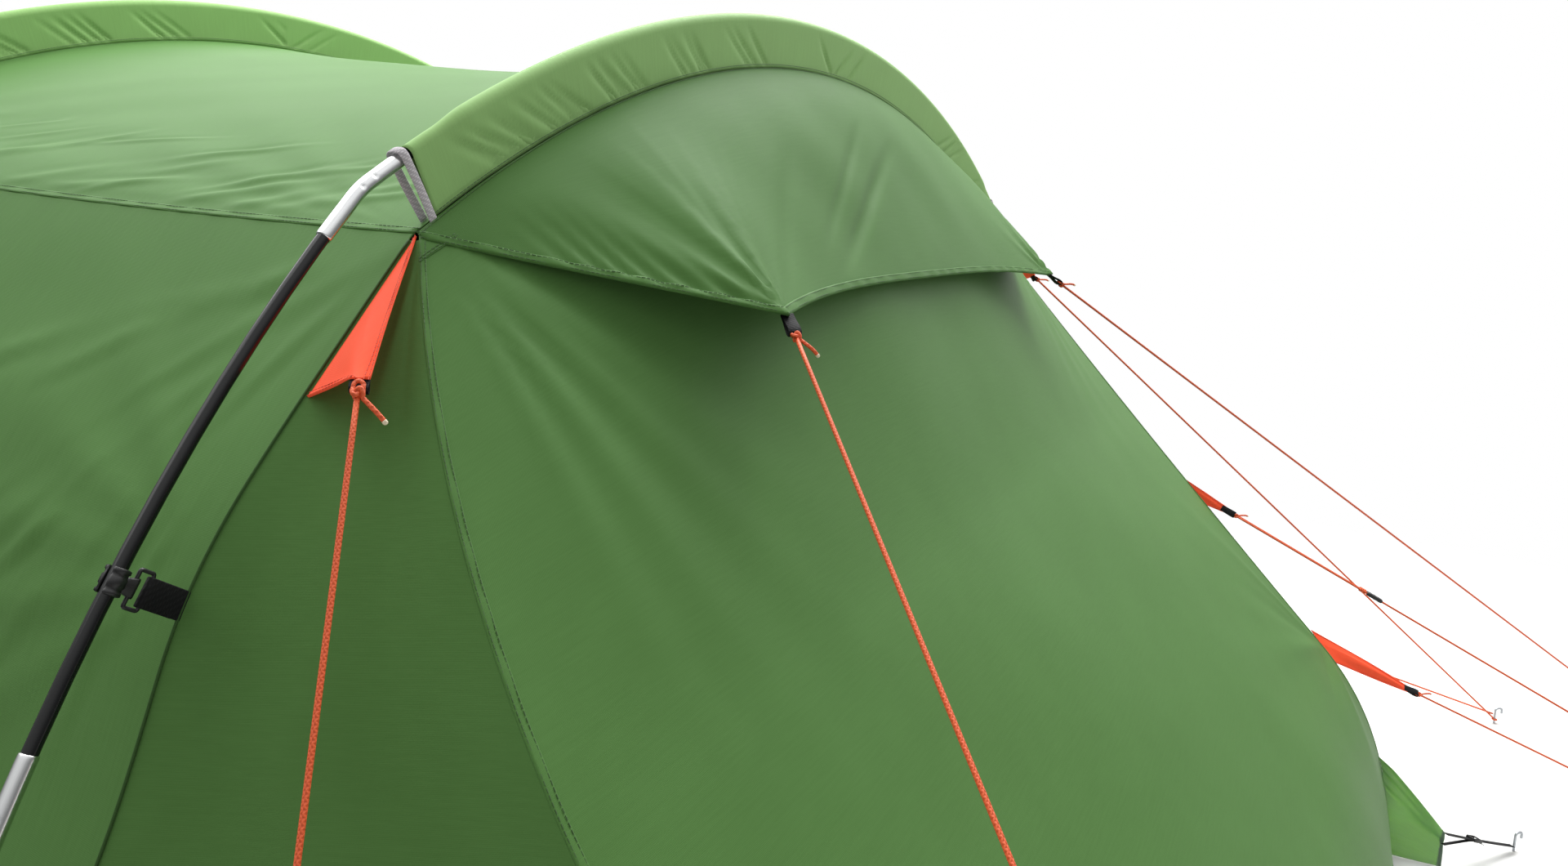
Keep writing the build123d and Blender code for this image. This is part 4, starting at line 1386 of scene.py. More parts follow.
    def rear_wall(self) -> None:
        """The sloping rear wall between the corner seams, closed under the hood."""
        form = self.form
        v = np.concatenate([np.linspace(0, 0.12, 16)[:-1], np.linspace(0.12, 1, 130)])
        a = np.linspace(-1, 1, 190)[None, :]
        corner = along(form.corner, v)[:, None]
        grid = corner * np.array([0, 1.0, 1.0]) + corner * np.array([1.0, 0, 0]) * a[..., None]
        slope = unit(np.gradient(along(form.corner, v), axis=0))
        out = unit(np.stack([0 * v, slope[:, 2], -slope[:, 1]], -1))
        arch = form.rear.roof_line(a[0], form.rear.sleeve_depth + 0.008, -0.006)
        crown = (arch[:, 2] - arch[0, 2])[None]
        up = (1 - ease(v, 0.0, 0.32))[:, None]
        swell = self.wall_swell * ease(v, 0.0, 0.3) * (1 - 0.45 * ease(v, 0.6, 1.0))
        grid = grid + np.array([0, 0, 1.0]) * (crown * up)[..., None]
        grid = grid + out[:, None] * (swell[:, None] * (1 - a**2) ** 0.9)[..., None]
        panel = Panel("rear_wall_cloth", grid, "rear_wall", self.finish.cloth)
        fade = np.minimum(1, 8 * (1 - np.abs(a))) * ease(v, 0.02, 0.15)[:, None]
        folds = 0.0035 * waves(grid * np.array([1.0, 0.8, 0.8]), 0.55, 31) * fade
        high = ((9, 2.5, 0.0022), (15, 2.2, -0.0022), (22, 2.6, 0.0034), (30, 3, -0.003))
        high += ((38, 3.5, 0.0034), (50, 5, 0.003), (62, 5, -0.002))
        low = ((-70, 6, 0.004), (-45, 7, -0.003), (-20, 6, 0.005), (5, 7, -0.004), (30, 8, 0.004))
        for side in SIDES:
            apex, knee = (side_of(p, side) for p in (form.rear.shoulder, form.seam_knee))
            axis = side_of((0.18, -0.3, -0.93), side)
            spread = mirrored(high, -side)
            folds = folds + fan(grid, apex, axis, (0, -0.8, 0.55), spread, 0.14) * fade**0.3
            axis, spread = (-side, 0, 0), mirrored(low, side)
            folds = folds + fan(grid, knee, axis, (0, -0.85, 0.5), spread, 0.17) * fade**0.3
        panel.displaced(folds)
        for edge in (Edge.LEFT, Edge.RIGHT):
            panel.seam(edge, self.seam_width, self.sewing)
        for side in SIDES:
            self.corner_facing(panel, side)
        panel.build()

    def corner_facing(self, panel: Panel, side: int) -> None:
        """Sews a small facing into an upper corner of the rear wall, where the seams meet.

        Args:
            panel: The rear wall.
            side: Which corner.
        """
        top, low = side_of(along(self.form.corner, np.array([0.0, 0.05])), side)
        down, across = unit(low - top), np.array([-side, 0.0, 0.0])
        corners = top + down * 0.006, top + down * 0.036, top + down * 0.014 + across * 0.052
        base, point = corners[1] - corners[0], corners[2] - corners[0]
        u = np.linspace(0, 1, 16)[:, None, None]
        v = np.linspace(0, 1, 12)[None, :, None]
        flat = corners[0] + u * (base * (1 - v) + point * v)
        panel.bands.append(Grid(laid_on(flat, panel.grid, panel.inside, 0.0011)))
        for share in (0.80, 0.93):
            line = corners[0] + share * (base + (point - base) * v[0])
            self.sewing.row(laid_on(line, panel.grid, panel.inside, 0.0017))

    def hem_line(self, x: Array) -> Array:
        """The vent hood's free edge: straight to each tip, and drawn up between them.

        Args:
            x: How far across the points are that are wanted.

        Returns:
            The points.
        """
        tip = np.array(self.form.hood_tip)
        reach = np.abs(x) / tip[0]
        rise = 1 - reach**3.2
        inner = np.stack([x, tip[1] + self.hem_draw * rise, tip[2] + self.hem_rise * rise], -1)
        end = self.form.rear.shoulder
        share = np.clip((np.abs(x) - tip[0]) / (end[0] - tip[0]), 0, 1)
        rise = tip[2] + (end[2] - 0.006 - tip[2]) * share
        outer = np.stack([x, tip[1] * (1 - share) - 0.010, rise], -1)
        return np.where((reach <= 1)[:, None], inner, outer)

    def hood(self) -> None:
        """The vent hood, from the sleeve's seam to its two guyed tips."""
        form = self.form
        tip = form.hood_tip[0]
        end = form.rear.shoulder[0] - 0.002
        half = np.concatenate([np.linspace(0, tip, 90), np.linspace(tip, end, 50)[1:]])
        x = np.concatenate([-half[:0:-1], half])
        v = np.linspace(0, 1, 80)[:, None]
        deep = form.rear.sleeve_depth
        top = form.rear.roof.at(np.arcsin(x / (form.rear.roof_radius - deep)), deep)
        top = top + np.array([0, -0.003, 0])
        hem = self.hem_line(x)
        # Each tip pulls the cloth to a ridge, sharp at the hem and dying away towards the sleeve.
        soft = 0.12 * (1 - v) * ease(end - np.abs(x), 0.0, 0.25)[None]
        steps = np.linspace(-2, 2, 9)
        shares = np.exp(-(steps**2) / 2) / np.exp(-(steps**2) / 2).sum()
        blur = [w * self.hem_line((x[None] + t * soft).ravel()) for t, w in zip(steps, shares)]
        grid = mix(top[None], np.sum(blur, 0).reshape(len(v), len(x), 3), v)
        panel = Panel("vent_hood_cloth", grid, "rear_hood", self.finish.cloth)
        panel.inside, panel.rests_on = (0.0, 0.6, 1.0), ("rear_sleeve",)
        depth = np.linalg.norm(hem - top, axis=-1)[None]
        folds = self.hood_belly * depth * np.sin(math.pi * v**0.7)
        low = ease(v, 0.1, 0.6)
        long = ((17, 7, 0.0012), (28, 7, -0.0016), (40, 7, 0.0015))
        long += ((53, 7, -0.0010), (64, 7, 0.0010))
        short = ((-42, 6, 0.002), (-27, 6, -0.002), (-12, 5, 0.003), (1, 5, -0.003))
        short += ((12, 5, 0.003), (22, 4, -0.002))
        axis, out = (0, 0.4, 0.9), (0, -0.8, 0.6)
        for side in SIDES:
            apex = side_of(form.hood_tip, side)
            for pull, reach in ((long, 0.13), (short, 0.05)):
                spread = fan(grid, apex, axis, out, mirrored(pull, -side), reach)
                folds = folds + spread * (0.25 + 0.75 * low)
        # Soft valleys run up beside the left tip. For each: where its foot and its head lie across
        # the hood, its half width, its depth and where it ends.
        valleys = (
            (-0.591, -0.204, 0.022, 0.0034, 0.95),
            (-0.385, 0.308, 0.030, 0.0085, 0.92),
            (-0.480, 0.126, 0.020, 0.005, 0.82),
        )
        for foot, head, wide, deep, last in valleys:
            centre = head + (foot - head) * v
            rise = ease(v, last - 0.62, last - 0.30) * (1 - ease(v, last - 0.2, last + 0.05))
            folds = folds - deep * np.exp(-(((x[None] - centre) / wide) ** 2)) * rise
        swell = 0.003 * waves(grid * np.array([1.4, 1.0, 1.0]), 0.3, 47)
        folds = folds + swell * np.sin(math.pi * v)
        # The hem is cut a little long outside each tip, so that the cloth ripples along it.
        beyond = (np.abs(x) - tip)[None]
        above = depth * (1 - v)
        phase = (beyond - 0.45 * above) * 2 * math.pi / self.ripple_length
        ripple = np.sin(phase + 1.3 * np.sin(beyond / 0.027))
        share = ease(beyond, 0.012, 0.05) * (1 - ease(beyond, 0.17, 0.26))
        share = share * np.exp(-((above / 0.055) ** 2)) * ease(above, 0.0, 0.014)
        panel.displaced(folds + 0.0017 * ripple * share)
        panel.seam(Edge.FOOT, self.hem_width, self.sewing, 0.0014)
        self.sewing.row(inset_line(panel.grid, Edge.TOP, 0.004, 0.0012, panel.inside))
        panel.build()

    def sleeve(self, arch: Arch, name: str) -> None:
        """A pole sleeve: a long pocket over the roof rods, creased across by the pole's push.

        Args:
            arch: The arch that it is on.
            name: That arch's name.
        """
        half = math.asin(arch.sleeve_half / arch.roof_radius)
        angles = np.linspace(-half, half, 420)
        depth, around = arch.sleeve_depth, self.pocket
        lean = math.acos(around / depth)
        turn = np.linspace(-math.pi + lean, math.pi - lean, 25)
        cap = np.stack([around * np.cos(turn), around * np.sin(turn)], -1)
        foot = np.array([[-depth, -0.0013]])
        flank = foot + (cap[0] - foot) * np.linspace(0, 1, 16)[:-1, None]
        outline = np.concatenate([flank, cap, flank[::-1] * np.array([1, -1])])
        rise = np.clip((outline[:, 0] + depth) / depth, 0, 1)
        weight = np.clip(rise / 0.12, 0, 1) * (1 - ease(rise, 0.45, 0.98))
        run = angles * arch.roof_radius
        rng = np.random.default_rng(7 if name == "rear" else 9)
        crease = np.zeros((len(run), len(outline)))
        slant = (outline[:, 0] + depth)[None] * np.sign(run + 1e-9)[:, None]
        # The creases come in groups, most of them towards the elbow on the left.
        groups = ((-0.900, 0.016, 6), (-0.785, 0.017, 5), (-0.66, 0.019, 5), (-0.49, 0.024, 4))
        groups += ((-0.30, 0.03, 3), (0.02, 0.05, 2), (0.58, 0.04, 3), (0.82, 0.022, 5))
        for start, step, number in groups:
            tilt = rng.uniform(1.0, 1.5)
            for k in range(number):
                at = start + step * (k + rng.uniform(-0.22, 0.22))
                wide = rng.uniform(0.0038, 0.0062)
                height = -rng.uniform(0.0022, 0.0046)
                lean = tilt * rng.uniform(0.85, 1.15)
                crease += height * np.exp(-(((run[:, None] - at - lean * slant) / wide) ** 2))
        crease = crease * weight[None]
        # The ends are drawn in round the pole.
        draw = 0.74 + 0.26 * ease(arch.sleeve_half - np.abs(run), 0.0, 0.05)[:, None]
        out = np.stack([np.sin(angles), 0 * angles, np.cos(angles)], -1)
        away = np.sign(outline[:, 1])[None, :]
        tall = np.where(outline[:, 0] > 0, outline[:, 0] * draw, outline[:, 0])
        grid = arch.roof.at(angles)[:, None] + out[:, None] * tall[..., None]
        grid = grid + AHEAD * (outline[:, 1] * draw + crease * away)[..., None]
        panel = Panel(f"{name}_sleeve_cloth", grid, f"{name}_sleeve", self.finish.sleeve)
        panel.slot, panel.thickness, panel.surface = Slot.SLEEVE, 0.001, Grid(grid)
        panel.inside = arch.roof.at(0.0) * np.array([1, 1, 0.6])
        panel.rests_on = (f"{name}_roof_rods",)
        panel.build()
        for side in SIDES:
            self.sewing.row(arch.roof.at(angles, depth - 0.005) + AHEAD * (side * 0.0045))

    def front_wall(self) -> None:
        """The sloping front wall round its doorway."""
        form = self.form
        middle = Door.sill + Door.length / 2
        corners = [(form.front_base_half, 0.0), (form.front.shoulder[0], form.slope_length)]
        marks = [math.atan2(y - middle, s * x) for s in SIDES for x, y in corners]
        turn = np.linspace(-math.pi, math.pi, 220, endpoint=False)
        turn = np.sort(np.concatenate([turn, marks]))
        way = np.stack([np.cos(turn), np.sin(turn)], -1)
        inner = np.array([Door.reach(w, self.doorway_gap) for w in way])
        outer = np.array([self.wall_reach(w, middle) for w in way])
        rings = np.linspace(0, 1, 26)
        flat = way[None] * (inner[None] + (outer - inner)[None] * rings[:, None])[..., None]
        flat = flat + np.array([0, middle])
        spots = np.concatenate([flat, flat[..., :1]], -1)
        swell = 0.010 * np.sin(math.pi * rings)[:, None] + 0.002 * waves(spots, 0.4, 5)
        # It lies flat beside the doorway, under the zips.
        beside = rings[:, None] * (outer - inner)[None]
        swell = swell * (rings * (1 - rings) * 4)[:, None] * ease(beside, 0.03, 0.11) + 0.002
        grid = form.on_wall(flat[..., 0], flat[..., 1], swell)
        grid[..., 2] = np.maximum(grid[..., 2], 0.0)
        closed = np.concatenate([grid, grid[:, :1]], 1)
        panel = Panel("front_wall_cloth", closed, "front_wall", self.finish.cloth)
        panel.surface = Grid(grid, wrap=True, uv=flat)
        panel.rests_on = ("front_roof_rods",)
        panel.build()
        for inset in (0.032, 0.044):
            ring = np.array([Door.reach(w, self.doorway_gap + inset) for w in way])
            spot = way * ring[:, None] + np.array([0, middle])
            self.sewing.row(form.on_wall(spot[:, 0], spot[:, 1], 0.0052))

    def wall_reach(self, way: Array, middle: float) -> float:
        """How far the front wall reaches from the doorway's middle.

        Args:
            way: A direction on the wall.
            middle: How far up the slope the doorway's middle is.

        Returns:
            The distance to the wall's edge.
        """
        form = self.form
        low, high = form.front_base_half, form.front.shoulder[0]
        reach = []
        if abs(way[1]) > 1e-9:
            reach.append(((form.slope_length if way[1] > 0 else 0.0) - middle) / way[1])
        lean = (high - low) / form.slope_length
        down = abs(way[0]) - lean * way[1]
        if down > 1e-9:
            reach.append((low + lean * middle) / down)
        return min(r for r in reach if r > 0)

    def front_header(self) -> None:
        """The curved panel between the front sleeve and the flat front wall."""
        form = self.form
        a = np.linspace(-1, 1, 120)
        v = np.linspace(0, 1, 40)[:, None]
        top = form.front.roof_line(a, None, 0.003)
        out = 0.002 + 0.002 * (1 - a**2)
        low = form.on_wall(-a * form.front.shoulder[0], form.slope_length, out)
        grid = mix(top[None], low[None], v)
        depth = np.linalg.norm(low - top, axis=-1)[None]
        panel = Panel("front_header_cloth", grid, "front_header", self.finish.cloth)
        panel.rests_on = ("front_sleeve",)
        bow = np.sin(math.pi * v)
        panel.displaced(0.02 * depth * bow + 0.0015 * waves(grid, 0.25, 3) * bow)
        panel.seam(Edge.FOOT, self.seam_width, self.sewing)
        panel.build()

    def front_wing(self, side: int) -> None:
        """A front wing between the front arch's leg and the front wall.

        Args:
            side: 1 for the right, -1 for the left.
        """
        form = self.form
        z = np.linspace(form.front.shoulder[2] - 0.02, 0.0, 90)
        up = z / form.slope_up[2]
        taper = form.front.shoulder[0] - form.front_base_half
        half = form.front_base_half + taper * up / form.slope_length
        seam = side_of(form.on_wall(-half, up, 0.002), side)[:, None]
        leg = side_of(form.front.leg_line(z), side)[:, None]
        t = np.linspace(0, 1, 70)[None, :]
        grid = mix(leg, seam, t)
        name = SIDES[side]
        panel = Panel(f"front_wing_cloth_{name}", grid, f"front_wing_{name}", self.finish.cloth)
        panel.inside, panel.rests_on = (0, 0.9, 0.6), ("front_roof_rods",)
        bow = 4 * t * (1 - t)
        span = np.linalg.norm(seam - leg, axis=-1)
        panel.displaced(-0.014 * span * bow + 0.003 * waves(grid, 0.4, 61) * bow)
        panel.seam(Edge.RIGHT, self.seam_width, self.sewing)
        panel.build()

    def fins(self) -> None:
        """The gathered fins at the foot of the rear corners."""
        rise = np.linspace(0, 1, 90)[:, None]
        out = np.linspace(0, 1, 50)[None, :]
        root_top, tip_top = self.fin_heights
        z = rise * (root_top + (tip_top - root_top) * out)
        root = np.interp(z, [0.0, 0.1, 0.2, 0.24], [-1.031, -1.032, -1.016, -0.995])
        y = root + (self.fin_reach - root) * out
        swing = rise * 34 + 2.4 * np.sin(rise * 7) + 3.0 * out
        gather = 0.0055 * np.sin(swing) * np.exp(-out / 0.20) * ease(out, 0.0, 0.03)
        belly = 0.016 * np.sin(math.pi * out) * np.sin(math.pi * rise)
        ridge = np.exp(-(((rise - 0.35 - 0.3 * out) / 0.13) ** 2))
        belly = belly + 0.010 * ridge * ease(out, 0.05, 0.5)
        x = self.fin_half + gather + belly + 0.24 * z * (1 - out)
        for side, name in SIDES.items():
            grid = np.stack([x * side, y, z], -1)
            panel = Panel(f"corner_fin_cloth_{name}", grid, "corner_fins", self.finish.fin)
            panel.inside, panel.rests_on = (0, -1.1, 0.1), ("rear_wall",)
            panel.seam(Edge.RIGHT, 0.009, self.sewing)
            panel.build()

    def build(self) -> None:
        """Makes every panel."""
        self.roof()
        for side in SIDES:
            self.side(side)
            self.wing(side)
            self.edging(side)
            self.front_wing(side)
        self.rear_wall()
        self.hood()
        self.sleeve(self.form.rear, "rear")
        self.sleeve(self.form.front, "front")
        self.front_wall()
        self.front_header()
        self.fins()


@dataclass
class Door:
    """The zipped door in the front wall, with its zips, sliders and tie-back toggles."""

    form: Form
    finish: Finishes
    sewing: Stitching
    width: float = 0.900
    length: float = 1.400
    corner: float = 0.110
    sill: float = 0.120
    gap: float = 0.006
    zip_half: float = 0.007
    zip_lift: float = 0.0036
    side_zip_half: float = 0.560
    sill_zip_half: float = 0.310
    tooth_pitch: float = 0.0026
    tooth: float = 0.0028
    slider_lift: float = 0.0058
    slider_head: float = 0.0182
    toggle_offset: float = 0.088
    toggle_half: float = 0.022

    @classmethod
    def reach(cls, way: Array, margin: float) -> float:
        """How far the door's rounded outline reaches from its middle, in a direction.

        Args:
            way: The direction on the wall.
            margin: How much larger the outline is than the door.

        Returns:
            The distance to the outline.
        """
        half = np.array([cls.width, cls.length]) / 2 + margin
        round_ = cls.corner + margin
        way = np.abs(way)
        reach = min(h / max(w, 1e-9) for h, w in zip(half, way))
        spot = way * reach
        core = half - round_
        if np.all(spot > core):
            b = way @ core
            reach = b + math.sqrt(b * b - core @ core + round_**2)
        return float(reach)

    def __post_init__(self) -> None:
        """Works out how far up the slope the door's middle is."""
        self.middle = self.sill + self.length / 2

    def panel(self) -> None:
        """The door's cloth, bound all round."""
        up = np.linspace(-1, 1, 110)
        # Rows crowd into the rounded corners, where the half width changes fast.
        rise = np.sign(up) * (1 - (1 - np.abs(up)) ** 1.35) * self.length / 2
        over = np.clip(np.abs(rise) - (self.length / 2 - self.corner), 0, self.corner)
        half = self.width / 2 - self.corner + np.sqrt(self.corner**2 - over**2)
        a = np.linspace(-1, 1, 70)
        x = half[:, None] * a[None]
        y = np.broadcast_to(rise[:, None] + self.middle, x.shape)
        swell = (1 - a[None] ** 2) * (1 - (rise[:, None] / (self.length / 2)) ** 2)
        spots = np.stack([x, y, 0 * x], -1)
        out = 0.0028 + swell * (0.009 + 0.002 * waves(spots, 0.35, 71))
        grid = self.form.on_wall(x, y, out)
        panel = Panel("door_cloth", grid, "door_panel", self.finish.cloth, body="door")
        panel.held, panel.rests_on, panel.surface = "hung", ("front_wall",), Grid(grid)
        panel.build()

    def outline(self, margin: float, out: float, count: int = 400) -> Array:
        """Points round the doorway.

        Args:
            margin: How much larger the line is than the door.
            out: How far out from the wall it lies.
            count: How many points to give.

        Returns:
            The points.
        """
        turn = np.linspace(0, 2 * math.pi, count)
        way = np.stack([np.cos(turn), np.sin(turn)], -1)
        spot = way * np.array([self.reach(w, margin) for w in way])[:, None]
        return self.form.on_wall(spot[:, 0], spot[:, 1] + self.middle, out)

    def binding(self) -> None:
        """The folded tape that binds the door's edge."""
        line = self.outline(-0.006, 0.0036)[:-1]
        path = np.concatenate([line, line[:1]])
        across = path - self.form.on_wall(0.0, self.middle, 0.0036)
        tape = ribbon(path, across, 0.012, 0.0016)
        tape.caps = False
        piece = make("door_binding", [tape])
        for inset in (-0.0095, -0.003):
            self.sewing.row(self.outline(inset, 0.0049), "door")
        place_piece(piece, self.finish.cloth, body="door")

    def zips(self) -> None:
        """The zip chains beside and below the door, with interlocked coil teeth."""
        edge = self.width / 2 + self.gap + self.zip_half
        low = self.sill - self.gap - self.zip_half
        half = self.side_zip_half
        self.chain("zip_chain_side", [-edge, -edge], [self.middle - half, self.middle + half])
        self.chain("zip_chain_sill", [-self.sill_zip_half, self.sill_zip_half], [low, low])

    def chain(self, node: str, x: list, up: list) -> None:
        """One zip chain: tape, and teeth laid along a line by a node tree.

        Args:
            node: The CAD node that it stands for.
            x: How far across the wall its two ends are.
            up: How far up the slope they are.
        """
        path = self.form.on_wall(x, up, self.zip_lift)
        teeth = Repeat(
            "zip_teeth",
            "GeometryNodeMeshUVSphere",
            {"Segments": 6, "Rings": 4},
            {"Pitch": self.tooth_pitch, "Radius": self.tooth},
            scale=(1.0, 1.0, 0.3),
            upright=True,
        )
        piece = teeth.lay(f"{node}_teeth", [path], self.finish.coil)
        place_piece(piece, self.finish.coil, (node,))
        out = self.form.wall_out
        long = mix(path[0], path[1], np.linspace(-0.01, 1.01, 60)) - out * 0.0012
        across = np.cross(path[1] - path[0], out)
        tape = make(f"{node}_tape", [ribbon(long, across, 0.026, 0.001)])
        place_piece(tape, self.finish.black_web)

    def sliders(self) -> None:
        """The two zip sliders, each with a bridge and a pull."""
        form = self.form
        plate = (0.018, 0.011, 0.0022)
        shapes = [(plate, 0.0009, (0, 0, -0.0014)), (plate, 0.0009, (0, 0, 0.0014))]
        shapes.append(((0.006, 0.003, 0.0034), 0.0007, (0.004, 0, 0.0030)))
        shapes.append(((0.030, 0.0085, 0.0017), 0.0007, (-0.0175, 0, 0.0030)))
        for label, way in (("side", form.slope_up), ("sill", np.array([-1.0, 0.0, 0.0]))):
            node = f"zip_slider_{label}"
            low, high = (np.array(c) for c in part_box(node))
            flat = (low + high) / 2 - form.wall_foot
            spot = form.on_wall(-flat[0], flat @ form.slope_up, self.slider_lift)
            head = spot + way * self.slider_head
            piece = assemble(f"{node}_metal", axes_at(head, way, form.wall_out), shapes)
            place_piece(piece, self.finish.plastic, (node,), f"{label}_slider")

    def toggles(self) -> None:
        """The moulded toggles that hold the rolled door, each with an elastic loop."""
        parts = []
        x = self.width / 2 + self.gap + self.toggle_offset
        for row in (self.sill + self.length / 4, self.sill + self.length * 3 / 4):
            share = np.linspace(-1, 1, 22)
            path = self.form.on_wall(x, row + self.toggle_half * share, 0.011)
            waist = 0.0045 - 0.0013 * np.exp(-((share / 0.22) ** 2))
            size = waist * np.sqrt(np.clip(1 - np.abs(share) ** 6, 0.02, 1))
            parts.append(tube(path, size, 14))
            loop = [(0, 0.0022), (0.006, 0.006), (0.006, 0.015)]
            loop += [(-a, b) for a, b in reversed(loop)]
            route = np.array([self.form.on_wall(x + a, row, b) for a, b in loop])
            parts.append(tube(smooth_line(route, 30), 0.0013, 8))
        piece = make("door_toggle_set", parts)
        place_piece(piece, self.finish.plastic, ("door_toggles",))

    def build(self) -> None:
        """Makes the door and what works it."""
        self.panel()
        self.binding()
        self.zips()
        self.sliders()
        self.toggles()


@dataclass(frozen=True)
class Clip:
    """A pole clip: its place on the pole, and the ways out from the arch and along the pole."""

    middle: Array
    out: Array
    tangent: Array

    def shell(self) -> list[Grid]:
        """An open ring round the pole with three ribs, and its neck.

        Returns:
            The grids of the ring and the neck.
        """
        turn = np.linspace(math.radians(35), math.radians(325), 40)
        half = np.array([0.32, 0.4, 0.62, 0.7, 0.92, 1]) * 0.011
        rise = np.concatenate([-half[::-1], half])
        size = np.array([0.0094, 0.0084, 0.0084, 0.0094, 0.0094, 0.0078])
        size = np.concatenate([size[::-1], size])
        ring = np.cos(turn)[:, None] * self.out + np.sin(turn)[:, None] * AHEAD
        outer = ring[:, None] * size[None, :, None] + (self.tangent[None] * rise[:, None])[None]
        ends = (self.tangent[None] * rise[[-1, 0]][:, None])[None]
        grid = self.middle + np.concatenate([outer, ring[:, None] * 0.0064 + ends], 1)
        neck = self.middle + np.linspace(-0.0075, -0.019, 6)[:, None] * self.out
        wide = np.linspace(0.0060, 0.0085, 6)[:, None]
        low = [(-1, -0.35), (-0.8, -0.6), (0.8, -0.6), (1, -0.35)]
        outline = low + [(-a, -b) for a, b in low]
        body = [neck + self.tangent * (wide * a) + AHEAD * (0.0045 * b) for a, b in outline]
        return [Grid(g, wrap=True, caps=True) for g in (grid, np.stack(body, 1))]

    def ring(self) -> Grid:
        """The rounded wire ring between the clip and its strap.

        Returns:
            The ring's grid.
        """
        near, far, half = -0.0165, -0.0290, 0.0155
        corners = [(near, 0.0), (near, half), (far, half), (far, -half), (near, -half), (near, 0.0)]
        route = [self.middle + self.out * a + self.tangent * b for a, b in corners]
        close = []
        for first, last in zip(route, route[1:]):
            close += [first, first + (last - first) * 0.25, first + (last - first) * 0.75]
        return tube(smooth_line(np.array([*close, route[-1]]), 80), 0.0017, 10)

    def strap(self) -> Grid:
        """The webbing from the ring to the seam of the cloth, doubled through the ring.

        Returns:
            The strap's grid.
        """
        route = [(-0.060, 0.003), (-0.046, 0.003), (-0.032, 0.0032), (-0.0266, 0.0030)]
        route += [(-0.0258, 0.0), (-0.0266, -0.0030), (-0.032, -0.0032), (-0.046, -0.002)]
        route += [(-0.060, -0.0015), (-0.074, -0.001)]
        points = np.array([self.middle + self.out * a + AHEAD * b for a, b in route])
        return ribbon(smooth_line(points, 60), self.tangent, 0.025, 0.0016)


